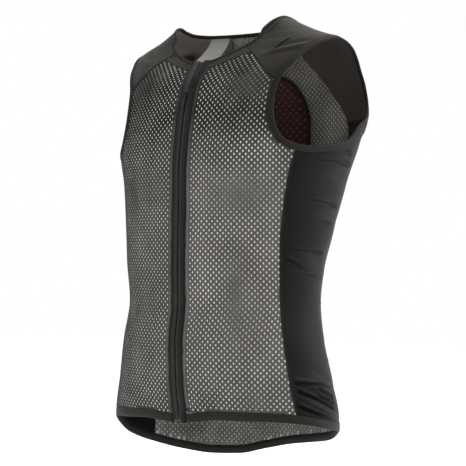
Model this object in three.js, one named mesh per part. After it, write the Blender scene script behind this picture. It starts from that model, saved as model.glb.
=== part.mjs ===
// A sleeveless protective vest for motorcycling, shown filled out as it is when worn.
// Two open-mesh front panels meet at a full-length zip. Plain stretch cloth makes the shoulder
// yokes and the sides. The back is mesh, and carries a padded spine pocket on its inside.
// Elastic tape binds the neckline and the armholes, and a wider band finishes the hem.
//
// Millimetres. +Z is up, -Y is the front, +X is the wearer's left side. The origin lies between
// the two points where the neckline crosses the top of the shoulders.
//
// Every piece of cloth is a patch on one skin, skinPoint(turn, z). turn is the angle round the
// body in degrees, 0 at the centre front, 90 at the wearer's left side and 180 at the centre back,
// negative on the wearer's right. Neighbouring patches use the same points along their seam.

import * as THREE from "three";

// Heights below the neck points.
const FRONT_LENGTH = 589;
const TAIL_DROP = 72;
const WAIST_LEVEL = 417;
const CHEST_LEVEL = 190;
const ARMHOLE_DEPTH = 196;
const SHOULDER_DROP = 35;
const FRONT_NECK_DROP = 69;
const BACK_NECK_DROP = 8;

// Half widths across the body.
const NECK_HALF_WIDTH = 98;
const SHOULDER_HALF_WIDTH = 176;
const CHEST_HALF_WIDTH = 203;
const WAIST_HALF_WIDTH = 161;
const HEM_HALF_WIDTH = 194;

// Depths in front of and behind the line that runs down through the neck points.
const FRONT_DEPTH = 116;
const BACK_DEPTH = 133;
const NECK_BACK_DEPTH = 68;

// Cloth, tapes and the clearance between neighbouring pieces.
const CLOTH = 2;
const TAPE = 2.8;
const TAPE_RAISE = 0.5;
const GAP = 0.3;
const NECK_TAPE_WIDTH = 7;
const ARM_TAPE_WIDTH = 12;
const HEM_BAND_WIDTH = 13;
const HEM_RAISE = 0.4;

// The zip.
const ZIP_BAND_HALF_WIDTH = 13.5;
const ZIP_BOX_LENGTH = 13;
const ZIP_BOX_RAISE = 0.8;
const TEETH_HALF_WIDTH = 3.2;
const TEETH_THICKNESS = 3.4;
const TEETH_RAISE = 1.2;
const ZIP_OPEN_LENGTH = 42;
const ZIP_OPEN_HALF_GAP = 4;
const SLIDER_LENGTH = 12;
const SLIDER_WIDTH = 10;
const SLIDER_THICKNESS = 2.2;
const PULL_LENGTH = 24;
const PULL_WIDTH = 5;
const PULL_THICKNESS = 1.6;

// The spine pocket inside the back.
const POCKET_TOP = 73;
const POCKET_LENGTH = 400;
const POCKET_HALF_WIDTH = 52;
const POCKET_THICKNESS = 8;
const POCKET_TAPE_WIDTH = 5;
const POCKET_CLEARANCE = 1.4;
const POCKET_DOME = 1.45;
const POCKET_CORNER = 45;

// The care label, sewn in at the back of the neck on the wearer's right.
const LABEL_WIDTH = 31;
const LABEL_LENGTH = 44;
const LABEL_THICKNESS = 1;
const LABEL_OFFSET = 61;
const LABEL_CLEARANCE = 1;
const LABEL_LEAN = 0.75;
const LABEL_TWIST = 0.1;
const LABEL_FALL = new THREE.Vector3(-0.45, -1, 0).normalize();

const COLOURS = {
  mesh: { color: 0x3c3b38, roughness: 0.85, metalness: 0 },
  stretch: { color: 0x2b2a29, roughness: 0.6, metalness: 0 },
  tape: { color: 0x1d1c1c, roughness: 0.7, metalness: 0 },
  zip: { color: 0x232325, roughness: 0.55, metalness: 0 },
  metal: { color: 0x1b1b1c, roughness: 0.35, metalness: 0.6 },
  lining: { color: 0x3a1519, roughness: 0.9, metalness: 0 },
  label: { color: 0xc9c7c0, roughness: 0.8, metalness: 0 },
};

const NECK_BACK_SHARE = NECK_BACK_DEPTH / BACK_DEPTH;

// Level sections of the body from the hem up to the neck. ridge is how far the widest point lies
// behind the neck points and back how far the cloth does, both as shares of BACK_DEPTH. front is a
// share of FRONT_DEPTH. chest and blade fill out the corners of the front and of the back.
const SECTION_COLUMNS = ["z", "width", "ridge", "front", "back", "chest", "blade"];
const SECTIONS = [
  [-FRONT_LENGTH - TAIL_DROP * 1.2, HEM_HALF_WIDTH, -0.08, 0.97, 0.73, 0, 0],
  [-FRONT_LENGTH, HEM_HALF_WIDTH, -0.08, 0.98, 0.75, 0, 0],
  [-FRONT_LENGTH * 0.905, HEM_HALF_WIDTH * 0.935, -0.085, 1.04, 0.75, 0, 0],
  [-FRONT_LENGTH * 0.81, HEM_HALF_WIDTH * 0.88, -0.11, 1.06, 0.67, 0, 0],
  [-WAIST_LEVEL, WAIST_HALF_WIDTH, -0.085, 1, 0.7, 0, 0],
  [-WAIST_LEVEL * 0.887, WAIST_HALF_WIDTH * 1.03, -0.085, 1.01, 0.76, 0, 0],
  [-WAIST_LEVEL * 0.772, CHEST_HALF_WIDTH * 0.857, -0.02, 1, 0.85, 0, 0],
  [-CHEST_LEVEL * 1.263, CHEST_HALF_WIDTH * 0.92, 0.08, 0.99, 1.01, 0, 0.03],
  [-CHEST_LEVEL, CHEST_HALF_WIDTH * 0.985, 0.14, 0.95, 1.03, 0.01, 0.06],
  [-CHEST_LEVEL * 0.76, CHEST_HALF_WIDTH * 1.015, 0.2, 0.88, 1.03, 0.02, 0.11],
  [-FRONT_NECK_DROP * 1.5, CHEST_HALF_WIDTH * 0.995, 0.22, 0.77, 0.99, 0.04, 0.12],
  [-FRONT_NECK_DROP, CHEST_HALF_WIDTH * 0.955, 0.22, 0.55, 0.93, 0.1, 0.11],
  [-SHOULDER_DROP * 1.5, SHOULDER_HALF_WIDTH * 1.086, 0.22, 0.425, 0.855, 0.09, 0.09],
  [-SHOULDER_DROP * 1.2, SHOULDER_HALF_WIDTH * 1.052, 0.215, 0.35, 0.79, 0.075, 0.075],
  [-SHOULDER_DROP, SHOULDER_HALF_WIDTH, 0.21, 0.305, 0.74, 0.06, 0.06],
  [
    -SHOULDER_DROP * 0.6, NECK_HALF_WIDTH + (SHOULDER_HALF_WIDTH - NECK_HALF_WIDTH) * 0.54,
    0.15, 0.26, 0.62, 0.03, 0.02,
  ],
  [0, NECK_HALF_WIDTH, 0.08, 0.23, NECK_BACK_SHARE, 0, 0],
  [SHOULDER_DROP * 0.3, NECK_HALF_WIDTH * 0.8, 0.06, 0.2, NECK_BACK_SHARE * 0.9, 0, 0],
].map((row) => Object.fromEntries(SECTION_COLUMNS.map((column, i) => [column, row[i]])));

// The neckline from the centre front round to the centre back. drop is a share of
// FRONT_NECK_DROP up to the neck point and of BACK_NECK_DROP behind it.
const NECKLINE = [
  { turn: 0, drop: 1 },
  { turn: 8, drop: 0.89 },
  { turn: 14, drop: 0.77 },
  { turn: 20, drop: 0.63 },
  { turn: 28, drop: 0.43 },
  { turn: 37, drop: 0.26 },
  { turn: 55, drop: 0.1 },
  { turn: 75, drop: 0.02 },
  { turn: 90, drop: 0 },
  { turn: 105, drop: 0.4 },
  { turn: 122, drop: 0.85 },
  { turn: 140, drop: 1 },
  { turn: 180, drop: 1 },
];

// The hem all the way round. drop is a share of TAIL_DROP below FRONT_LENGTH.
// The tail hangs a little lower on the wearer's right, as it does in use.
const HEM = [
  { turn: -180, drop: 0.82 },
  { turn: -165, drop: 0.97 },
  { turn: -150, drop: 1 },
  { turn: -135, drop: 0.92 },
  { turn: -115, drop: 0.75 },
  { turn: -95, drop: 0.54 },
  { turn: -75, drop: 0.25 },
  { turn: -60, drop: 0.05 },
  { turn: -40, drop: -0.03 },
  { turn: -20, drop: -0.07 },
  { turn: -5, drop: 0.04 },
  { turn: 5, drop: 0.04 },
  { turn: 20, drop: -0.07 },
  { turn: 40, drop: -0.06 },
  { turn: 60, drop: -0.02 },
  { turn: 90, drop: 0.12 },
  { turn: 115, drop: 0.2 },
  { turn: 150, drop: 0.55 },
  { turn: 165, drop: 0.67 },
  { turn: 180, drop: 0.82 },
];

// The edge of the left armhole, in order from the front of the yoke down, under the arm and up
// the back. drop is a share of ARMHOLE_DEPTH.
const ARMHOLE = [
  { turn: 42, drop: 0.53 },
  { turn: 41, drop: 0.73 },
  { turn: 44.5, drop: 0.88 },
  { turn: 50.5, drop: 0.96 },
  { turn: 64, drop: 1 },
  { turn: 90, drop: 0.955 },
  { turn: 102, drop: 0.83 },
  { turn: 119, drop: 0.72 },
  { turn: 124, drop: 0.46 },
  { turn: 119, drop: 0.3 },
  { turn: 106, drop: 0.2 },
  { turn: 88, drop: 0.183 },
  { turn: 61, drop: 0.24 },
  { turn: 49, drop: 0.34 },
];

// The seam between front and side, from the hem up. height is a share of the way up to the armhole.
const FRONT_SEAM = [
  { height: 0, turn: 61.7 },
  { height: 0.25, turn: 62 },
  { height: 0.42, turn: 61 },
  { height: 0.56, turn: 58.8 },
  { height: 0.68, turn: 55.3 },
  { height: 0.86, turn: 54.2 },
  { height: 1, turn: 54 },
];

// The seam between side and back, from the hem up. height is a share of the way up to the yoke.
const BACK_SEAM = [
  { height: 0, turn: 115 },
  { height: 0.3, turn: 117 },
  { height: 0.6, turn: 123 },
  { height: 0.85, turn: 134 },
  { height: 1, turn: 143.5 },
];

// The seam between the front panel and the yoke, from the neckline to the armhole.
const YOKE_FRONT_SEAM = [
  { along: 0, turn: 19, drop: 0.66 },
  { along: 0.3, turn: 26, drop: 0.87 },
  { along: 0.68, turn: 34, drop: 1.2 },
  { along: 1, turn: 42, drop: 1.5 },
];

// The seam between the back panel and the yoke, from the neckline down to the side panel.
const YOKE_BACK_SEAM = [
  { along: 0, turn: 156.5, drop: 0.04 },
  { along: 0.25, turn: 160, drop: 0.22 },
  { along: 0.5, turn: 154.5, drop: 0.41 },
  { along: 1, turn: 143.5, drop: 0.765 },
];

// Folds of the cloth. turn and height place the middle, height as a share of FRONT_LENGTH, lean is
// the fold's rise in millimetres for each millimetre round the body, and the rest are millimetres:
// half its length, half its width and how far it stands out, or in where that is negative.
const FOLDS = [
  { turn: 88, height: 0.925, lean: -0.34, reach: 42, spread: 6, rise: 3.2 },
  { turn: 92, height: 0.955, lean: -0.34, reach: 40, spread: 6, rise: -2.6 },
  { turn: 84, height: 0.968, lean: -0.34, reach: 34, spread: 6, rise: 2.6 },
  { turn: 96, height: 0.895, lean: -0.3, reach: 34, spread: 6, rise: -2.4 },
  { turn: 96, height: 0.4, lean: -0.12, reach: 44, spread: 9, rise: -2.6 },
  { turn: 98, height: 0.5, lean: -0.12, reach: 40, spread: 9, rise: -2.6 },
  { turn: 90, height: 0.6, lean: -0.15, reach: 40, spread: 9, rise: -2.4 },
  { turn: -88, height: 0.93, lean: 0.34, reach: 42, spread: 7, rise: 3 },
  { turn: -92, height: 0.965, lean: 0.34, reach: 40, spread: 7, rise: -2.4 },
  { turn: -96, height: 0.42, lean: 0.12, reach: 44, spread: 9, rise: -2.6 },
  { turn: -94, height: 0.55, lean: 0.12, reach: 44, spread: 9, rise: -2.6 },
  { turn: -30, height: 0.3, lean: 0.5, reach: 60, spread: 26, rise: 3 },
  { turn: 30, height: 0.36, lean: -0.3, reach: 60, spread: 28, rise: 3 },
  { turn: 28, height: 0.56, lean: -0.8, reach: 70, spread: 24, rise: -3 },
  { turn: -34, height: 0.7, lean: 0.7, reach: 60, spread: 22, rise: -3 },
  { turn: 30, height: 0.8, lean: 0.6, reach: 60, spread: 24, rise: 2.6 },
];

// How much later than evenly the front panel's rows rise beside the zip.
const ZIP_SIDE_LAG = 1.3;

// How many cells each edge is divided into.
const CELLS = {
  frontNeck: 4,
  yokeSeam: 7,
  yokeOver: 20,
  backNeck: 18,
  seamRows: 16,
  armFront: 6,
  armUnder: 9,
  yokeToSide: 2,
  pocketSide: 16,
  pocketBend: 3,
  pocketAcross: 6,
  labelFall: 4,
};

const HALF_CIRCLE = 180;

// Where the front seam and the top of the side panel meet the armhole, counted in rows of ARMHOLE.
const FRONT_SEAM_ROW = 3.5;
const SIDE_TOP_ROW = 7;

// A smooth curve through table rows that never overshoots them.
function through(rows, at, key, x) {
  const last = rows.length - 1;
  if (x <= rows[0][at]) return rows[0][key];
  if (x >= rows[last][at]) return rows[last][key];
  let i = 0;
  while (x > rows[i + 1][at]) i += 1;
  const slope = (k) => (rows[k + 1][key] - rows[k][key]) / (rows[k + 1][at] - rows[k][at]);
  const tangent = (k) => {
    if (k === 0) return slope(0);
    if (k === last) return slope(last - 1);
    const before = slope(k - 1);
    const after = slope(k);
    return before * after > 0 ? (2 * before * after) / (before + after) : 0;
  };
  const span = rows[i + 1][at] - rows[i][at];
  const s = (x - rows[i][at]) / span;
  const rest = 1 - s;
  return (
    rows[i][key] * rest * rest * (1 + 2 * s) +
    rows[i + 1][key] * s * s * (1 + 2 * rest) +
    tangent(i) * span * s * rest * rest -
    tangent(i + 1) * span * s * s * rest
  );
}

// A closed, even curve through the rows of a loop, at a share of the way round it.
function roundLoop(rows, key, share) {
  const count = rows.length;
  const place = (((share % 1) + 1) % 1) * count;
  const i = Math.floor(place);
  const s = place - i;
  const [a, b, c, d] = [-1, 0, 1, 2].map((k) => rows[(i + k + count) % count][key]);
  return b + 0.5 * s * (c - a + s * (2 * a - 5 * b + 4 * c - d + s * (3 * (b - c) + d - a)));
}

function sectionAt(z) {
  const read = (key) => through(SECTIONS, "z", key, z);
  return {
    width: read("width"),
    ridge: read("ridge") * BACK_DEPTH,
    front: read("front") * FRONT_DEPTH,
    back: read("back") * BACK_DEPTH,
    chest: read("chest"),
    blade: read("blade"),
  };
}

// How far the two sides of the zip part at a height, above where it is done up.
function zipParting(z) {
  const open = (z + FRONT_NECK_DROP + ZIP_OPEN_LENGTH) / ZIP_OPEN_LENGTH;
  return ZIP_OPEN_HALF_GAP * Math.max(open, 0) ** 1.5;
}

const wrapped = (turn) => THREE.MathUtils.euclideanModulo(turn + HALF_CIRCLE, 2 * HALF_CIRCLE) - HALF_CIRCLE;

function plainPoint(turn, z) {
  const section = sectionAt(z);
  const place = wrapped(turn);
  const angle = THREE.MathUtils.degToRad(Math.abs(place));
  const side = place < 0 ? -1 : 1;
  const front = Math.abs(place) < HALF_CIRCLE / 2;
  const fill = 1 + (front ? section.chest : section.blade) * Math.sin(2 * angle) ** 2;
  const depth = front ? section.front + section.ridge : section.back - section.ridge;
  const x = section.width * Math.sin(angle) * fill;
  const y = section.ridge - depth * Math.cos(angle) * fill;
  const parting = front ? zipParting(z) * Math.exp(-((x / 40) ** 2)) : 0;
  return new THREE.Vector3(side * (x + parting), y, z);
}

// How far a degree carries along the cloth, near enough for placing folds.
const REACH_OF_DEGREE = (CHEST_HALF_WIDTH * Math.PI * 0.8) / HALF_CIRCLE;

function foldRise(turn, z) {
  let rise = 0;
  for (const fold of FOLDS) {
    const around = wrapped(turn - fold.turn) * REACH_OF_DEGREE;
    const up = z + fold.height * FRONT_LENGTH;
    const across = up - fold.lean * around;
    rise += fold.rise * Math.exp(-((around / fold.reach) ** 2) - (across / fold.spread) ** 2);
  }
  return rise;
}

const TURN_STEP = 0.25;
const Z_STEP = 0.5;

// The two directions of the skin at a point, for one degree round and one millimetre up.
function skinDirections(turn, z) {
  const round = plainPoint(turn + TURN_STEP, z).sub(plainPoint(turn - TURN_STEP, z));
  const up = plainPoint(turn, z + Z_STEP).sub(plainPoint(turn, z - Z_STEP));
  return { round: round.divideScalar(2 * TURN_STEP), up: up.divideScalar(2 * Z_STEP) };
}

function skinNormal(turn, z) {
  const { round, up } = skinDirections(turn, z);
  return round.cross(up).normalize();
}

function skinPoint(turn, z) {
  return plainPoint(turn, z).addScaledVector(skinNormal(turn, z), foldRise(turn, z));
}

// Seams and edges are lists of { turn, z }.

const spot = (turn, z) => ({ turn, z });
const mirrored = (edge) => edge.map(({ turn, z }) => spot(-turn, z));
const reversed = (edge) => [...edge].reverse();
const joined = (...edges) => edges.flatMap((edge, i) => (i ? edge.slice(1) : edge));
const evenly = (count, make) => Array.from({ length: count + 1 }, (_, i) => make(i / count));

function neckHeight(turn) {
  const place = Math.abs(turn);
  const drop = place <= HALF_CIRCLE / 2 ? FRONT_NECK_DROP : BACK_NECK_DROP;
  return -drop * through(NECKLINE, "turn", "drop", place);
}

const hemHeight = (turn) => -FRONT_LENGTH - TAIL_DROP * through(HEM, "turn", "drop", wrapped(turn));

// The angle at which the front of the body is a given distance left of the middle.
function turnAcross(x, z) {
  return THREE.MathUtils.radToDeg(Math.asin(x / sectionAt(z).width));
}

const SHIFT_STEPS = 3;

// Moves an edge sideways over the skin, to the left of its own direction seen from outside.
function shiftedEdge(edge, distance, closed = false) {
  let moved = edge;
  for (let step = 0; step < SHIFT_STEPS; step += 1) {
    const last = moved.length - 1;
    moved = moved.map(({ turn, z }, i) => {
      const before = moved[closed ? (i + last - 1) % last : Math.max(i - 1, 0)];
      const after = moved[closed ? (i + 1) % last : Math.min(i + 1, last)];
      const { round, up } = skinDirections(turn, z);
      const normal = round.clone().cross(up).normalize();
      const along = plainPoint(after.turn, after.z).sub(plainPoint(before.turn, before.z));
      const sideways = normal.cross(along).normalize().multiplyScalar(distance / SHIFT_STEPS);
      const rr = round.dot(round);
      const ru = round.dot(up);
      const uu = up.dot(up);
      const sr = sideways.dot(round);
      const su = sideways.dot(up);
      const size = rr * uu - ru * ru;
      return spot(turn + (sr * uu - su * ru) / size, z + (su * rr - sr * ru) / size);
    });
  }
  return moved;
}

// The left armhole, anticlockwise seen from outside: down the front, under the arm, up the back
// and over the shoulder. Its parts lie against the front panel, the side panel and the yoke.
const armShare = (row) => row / ARMHOLE.length;
const ARM_PARTS = {
  front: { from: 0, to: armShare(FRONT_SEAM_ROW), cells: CELLS.armFront },
  under: { from: armShare(FRONT_SEAM_ROW), to: armShare(SIDE_TOP_ROW), cells: CELLS.armUnder },
  over: { from: armShare(SIDE_TOP_ROW), to: 1, cells: CELLS.yokeOver },
};

function armEdge({ from, to, cells }) {
  return evenly(cells, (s) => {
    const share = THREE.MathUtils.lerp(from, to, s);
    return spot(roundLoop(ARMHOLE, "turn", share), -ARMHOLE_DEPTH * roundLoop(ARMHOLE, "drop", share));
  });
}

const armholeEdge = joined(armEdge(ARM_PARTS.front), armEdge(ARM_PARTS.under), armEdge(ARM_PARTS.over));
const armholeSeam = shiftedEdge(armholeEdge, -ARM_TAPE_WIDTH, true);
const armFrontSeam = armholeSeam.slice(0, CELLS.armFront + 1);
const armUnderSeam = armholeSeam.slice(CELLS.armFront, CELLS.armFront + CELLS.armUnder + 1);
const armOverSeam = armholeSeam.slice(CELLS.armFront + CELLS.armUnder);

// Corners where three pieces meet.
const frontTop = armFrontSeam[armFrontSeam.length - 1];
const sideTop = armUnderSeam[armUnderSeam.length - 1];
const yokeFrontEnd = armFrontSeam[0];

// Blends a table's curve so that it starts and ends exactly on two corners.
function edgeBetween(rows, at, start, end, cells, placeOf, spacing = (s) => s) {
  const first = placeOf(rows, at, 0);
  const final = placeOf(rows, at, 1);
  return evenly(cells, (even) => {
    const s = spacing(even);
    const here = placeOf(rows, at, s);
    const turn = here.turn + (start.turn - first.turn) * (1 - s) + (end.turn - final.turn) * s;
    const z = here.z + (start.z - first.z) * (1 - s) + (end.z - final.z) * s;
    return spot(turn, z);
  });
}

// Rows lie closer together near the hem, where the sides gather.
const seamSpacing = (s) => s * (0.45 + 0.55 * s);

function bodySeam(rows, start, end) {
  const place = (table, at, s) =>
    spot(through(table, at, "turn", s), THREE.MathUtils.lerp(start.z, end.z, s));
  return edgeBetween(rows, "height", start, end, CELLS.seamRows, place, seamSpacing);
}

function yokeSeam(rows, start, end, cells, unit) {
  const place = (table, at, s) =>
    spot(through(table, at, "turn", s), -unit * through(table, at, "drop", s));
  return edgeBetween(rows, "along", start, end, cells, place);
}

// The neckline on the left, split where the yoke's seams meet it, and the seam of its tape.
function neckEdge(from, to, cells) {
  return evenly(cells, (s) => {
    const turn = THREE.MathUtils.lerp(from, to, s);
    return spot(turn, neckHeight(turn));
  });
}

const zipTop = turnAcross(ZIP_BAND_HALF_WIDTH, -FRONT_NECK_DROP);
const yokeNeckFront = YOKE_FRONT_SEAM[0].turn;
const yokeNeckBack = YOKE_BACK_SEAM[0].turn;
const yokeCells = CELLS.yokeOver + CELLS.yokeToSide;
const neckParts = [
  neckEdge(zipTop, yokeNeckFront, CELLS.frontNeck),
  neckEdge(yokeNeckFront, yokeNeckBack, yokeCells),
  neckEdge(yokeNeckBack, HALF_CIRCLE, CELLS.backNeck / 2),
];
const neckLeft = joined(...neckParts);
const neckSeamLeft = shiftedEdge(neckLeft, -NECK_TAPE_WIDTH);
const neckSeamFoot = neckLeft[0].z - NECK_TAPE_WIDTH;
neckSeamLeft[0] = spot(turnAcross(ZIP_BAND_HALF_WIDTH, neckSeamFoot), neckSeamFoot);
const frontNeckSeam = neckSeamLeft.slice(0, CELLS.frontNeck + 1);
const yokeNeckSeam = neckSeamLeft.slice(CELLS.frontNeck, CELLS.frontNeck + yokeCells + 1);
const backNeckSeam = neckSeamLeft.slice(CELLS.frontNeck + yokeCells);

const yokeFrontSeam = yokeSeam(
  YOKE_FRONT_SEAM, yokeNeckSeam[0], yokeFrontEnd, CELLS.yokeSeam, FRONT_NECK_DROP,
);
const sideBackTop = spot(
  YOKE_BACK_SEAM[3].turn, -ARMHOLE_DEPTH * YOKE_BACK_SEAM[3].drop,
);
const yokeBackSeam = yokeSeam(
  YOKE_BACK_SEAM, backNeckSeam[0], sideBackTop, CELLS.yokeSeam, ARMHOLE_DEPTH,
);
const yokeSideSeam = evenly(CELLS.yokeToSide, (s) =>
  spot(
    THREE.MathUtils.lerp(sideBackTop.turn, sideTop.turn, s),
    THREE.MathUtils.lerp(sideBackTop.z, sideTop.z, s),
  ));

// The parts of one side. side is 1 for the wearer's left and -1 for the right; only the hem
// differs between them.
function sideEdges(side) {
  const hemSpot = (turn) => spot(turn, hemHeight(side * turn));
  const seamSpot = (turn) => spot(turn, hemHeight(side * turn) + HEM_BAND_WIDTH);
  const frontTurn = FRONT_SEAM[0].turn;
  const backTurn = BACK_SEAM[0].turn;
  const zipFoot = turnAcross(ZIP_BAND_HALF_WIDTH, -FRONT_LENGTH);
  const across = (from, to, cells, make) =>
    evenly(cells, (s) => make(THREE.MathUtils.lerp(from, to, s)));
  const frontCells = CELLS.frontNeck + CELLS.yokeSeam;
  const sideCells = CELLS.armUnder + CELLS.yokeToSide;
  const backCells = CELLS.backNeck / 2;
  const edges = {};
  for (const [name, make] of [["hem", hemSpot], ["hemSeam", seamSpot]]) {
    edges[name] = {
      front: across(zipFoot, frontTurn, frontCells, make),
      side: across(frontTurn, backTurn, sideCells, make),
      back: across(backTurn, HALF_CIRCLE, backCells, make),
    };
  }
  edges.frontSeam = bodySeam(FRONT_SEAM, seamSpot(frontTurn), frontTop);
  edges.backSeam = bodySeam(BACK_SEAM, seamSpot(backTurn), sideBackTop);
  edges.frontOutside = joined(edges.frontSeam, reversed(armFrontSeam));
  edges.frontTop = joined(frontNeckSeam, yokeFrontSeam);
  edges.zipSide = zipEdge(edges.frontOutside, edges.hemSeam.front[0].z, edges.frontTop[0].z);
  return edges;
}

// The angle at which the back of the neckline is a given distance from the middle.
function neckBackTurn(x) {
  return HALF_CIRCLE - turnAcross(x, neckHeight(HALF_CIRCLE));
}

// The front panel's edge beside the zip, straight up at a fixed distance from the middle. across is
// the edge on the panel's other side, whose points rise a little sooner.
function zipEdge(across, bottom, top) {
  return across.map((row) => {
    const share = (row.z - across[0].z) / (across[across.length - 1].z - across[0].z);
    const z = THREE.MathUtils.lerp(bottom, top, share ** ZIP_SIDE_LAG);
    return spot(turnAcross(ZIP_BAND_HALF_WIDTH, z), z);
  });
}

// Fills the space between four edges. low and high run from left to right, left and right run up.
function filledPatch(low, high, left, right) {
  const columns = low.length - 1;
  const rows = left.length - 1;
  const mix = (key, u, v, i, j) =>
    low[i][key] * (1 - v) + high[i][key] * v + left[j][key] * (1 - u) + right[j][key] * u -
    (low[0][key] * (1 - u) * (1 - v) + low[columns][key] * u * (1 - v) +
      high[0][key] * (1 - u) * v + high[columns][key] * u * v);
  return left.map((_, j) =>
    low.map((__, i) => {
      const u = i / columns;
      const v = j / rows;
      return spot(mix("turn", u, v, i, j), mix("z", u, v, i, j));
    }));
}

// A narrow strip between two edges of the same number of points.
const strip = (low, high) => [low, high];

// Pulls the rim of a grid of points in by half the gap, so that neighbours never touch.
function pulledIn(points, normals, closed) {
  const rows = points.length - 1;
  const columns = points[0].length - 1;
  const moves = points.map((row) => row.map(() => new THREE.Vector3()));
  const pull = (j, i, inner, before, after) => {
    const along = after.clone().sub(before);
    const inward = inner.clone().sub(points[j][i]);
    const square = normals[j][i].clone().cross(along).normalize();
    moves[j][i].addScaledVector(square, (Math.sign(square.dot(inward)) * GAP) / 2);
  };
  for (let i = 0; i <= columns; i += 1) {
    const before = closed ? (i + columns - 1) % columns : Math.max(i - 1, 0);
    const after = closed ? (i + 1) % columns : Math.min(i + 1, columns);
    pull(0, i, points[1][i], points[0][before], points[0][after]);
    pull(rows, i, points[rows - 1][i], points[rows][before], points[rows][after]);
  }
  for (let j = 0; j <= rows && !closed; j += 1) {
    const before = Math.max(j - 1, 0);
    const after = Math.min(j + 1, rows);
    pull(j, 0, points[j][1], points[before][0], points[after][0]);
    pull(j, columns, points[j][columns - 1], points[before][columns], points[after][columns]);
  }
  return points.map((row, j) => row.map((point, i) => point.clone().add(moves[j][i])));
}

// Turns two facing grids of points into one closed solid. closed joins the last column to the first.
function shellGeometry(outer, inner, closed) {
  const rows = outer.length;
  const columns = outer[0].length - (closed ? 1 : 0);
  const positions = [];
  const index = [];
  for (const grid of [outer, inner]) {
    for (const row of grid) {
      for (let i = 0; i < columns; i += 1) positions.push(...row[i].toArray());
    }
  }
  const at = (layer, j, i) => layer * rows * columns + j * columns + (i % columns);
  const corner = (i) => new THREE.Vector3().fromArray(positions, 3 * i);
  const between = (a, b) => corner(a).distanceToSquared(corner(b));
  const split = (across, a, b, c, d) => index.push(...(across ? [a, b, c, a, c, d] : [b, c, d, b, d, a]));
  // The faces are split across their shorter way. The rims are split by the order of their corners
  // in space, so that the rims of two neighbours match.
  const quad = (a, b, c, d) => split(between(a, c) <= between(b, d), a, b, c, d);
  const rank = (i) => corner(i).z + corner(i).y / 3;
  const rim = (a, b, c, d) => split(rank(a) < rank(d), a, b, c, d);
  const cells = closed ? columns : columns - 1;
  for (let i = 0; i < cells; i += 1) {
    for (let j = 0; j < rows - 1; j += 1) {
      quad(at(0, j, i), at(0, j, i + 1), at(0, j + 1, i + 1), at(0, j + 1, i));
      quad(at(1, j, i), at(1, j + 1, i), at(1, j + 1, i + 1), at(1, j, i + 1));
    }
    rim(at(0, 0, i), at(1, 0, i), at(1, 0, i + 1), at(0, 0, i + 1));
    rim(at(0, rows - 1, i + 1), at(1, rows - 1, i + 1), at(1, rows - 1, i), at(0, rows - 1, i));
  }
  for (let j = 0; j < rows - 1 && !closed; j += 1) {
    const far = columns - 1;
    rim(at(0, j + 1, 0), at(1, j + 1, 0), at(1, j, 0), at(0, j, 0));
    rim(at(0, j, far), at(1, j, far), at(1, j + 1, far), at(0, j + 1, far));
  }
  const geometry = new THREE.BufferGeometry();
  geometry.setAttribute("position", new THREE.Float32BufferAttribute(positions, 3));
  geometry.setIndex(index);
  geometry.computeVertexNormals();
  return geometry;
}

const vest = new THREE.Group();
vest.name = "vest";

function addMesh(name, finish, geometry) {
  const material = new THREE.MeshStandardMaterial(COLOURS[finish]);
  const mesh = new THREE.Mesh(geometry, material);
  mesh.name = name;
  vest.add(mesh);
  return mesh;
}

// Gives a patch of the skin its thickness. raise lifts its outer face off the skin. Seen from
// outside, a patch's rows run up while its columns run towards the wearer's left.
function addCloth(name, finish, patch, { thickness = CLOTH, raise = 0, closed = false } = {}) {
  const normals = patch.map((row) => row.map(({ turn, z }) => skinNormal(turn, z)));
  const points = patch.map((row) => row.map(({ turn, z }) => skinPoint(turn, z)));
  const rim = pulledIn(points, normals, closed);
  const layer = (distance) =>
    rim.map((row, j) => row.map((point, i) => point.clone().addScaledVector(normals[j][i], distance)));
  return addMesh(name, finish, shellGeometry(layer(raise), layer(raise - thickness), closed));
}

// A patch of the left side, or its mirror image.
const onSide = (side, patch) => (side > 0 ? patch : patch.map((row) => reversed(mirrored(row))));

// The mirror image of an edge, with its angles counted on past the centre back.
const beyondBack = (edge) => edge.map(({ turn, z }) => spot(2 * HALF_CIRCLE - turn, z));

// Joins an edge of the left side, running to the centre back, to the same edge of the right.
const acrossBack = (left, right) => joined(left, reversed(beyondBack(right)));

function addFront(side, word, edges) {
  const { hemSeam, frontTop: top, zipSide, frontOutside } = edges;
  const patch = filledPatch(hemSeam.front, top, zipSide, frontOutside);
  addCloth(`front_panel_${word}`, "mesh", onSide(side, patch));
}

function addSidePanel(side, word, edges) {
  const top = joined(armUnderSeam, reversed(yokeSideSeam));
  const patch = filledPatch(edges.hemSeam.side, top, edges.frontSeam, edges.backSeam);
  addCloth(`side_panel_${word}`, "stretch", onSide(side, patch));
}

// The yoke's columns run from the neck to the armhole and its rows from front to back.
function addYoke(side, word) {
  const outside = joined(reversed(armOverSeam), reversed(yokeSideSeam));
  const patch = filledPatch(yokeFrontSeam, yokeBackSeam, yokeNeckSeam, outside);
  addCloth(`shoulder_yoke_${word}`, "stretch", onSide(side, patch));
}

const TAPE_FORM = { thickness: TAPE, raise: TAPE_RAISE };

function addArmholeTape(side, word) {
  const patch = strip(armholeSeam, armholeEdge);
  addCloth(`armhole_tape_${word}`, "tape", onSide(side, patch), { ...TAPE_FORM, closed: true });
}

function addBack(left, right) {
  const patch = filledPatch(
    acrossBack(left.hemSeam.back, right.hemSeam.back),
    acrossBack(backNeckSeam, backNeckSeam),
    joined(left.backSeam, reversed(yokeBackSeam)),
    beyondBack(joined(right.backSeam, reversed(yokeBackSeam))),
  );
  addCloth("back_panel", "mesh", patch);
}

function addNeckTape() {
  const patch = strip(acrossBack(neckSeamLeft, neckSeamLeft), acrossBack(neckLeft, neckLeft));
  addCloth("neck_tape", "tape", patch, TAPE_FORM);
}

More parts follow.
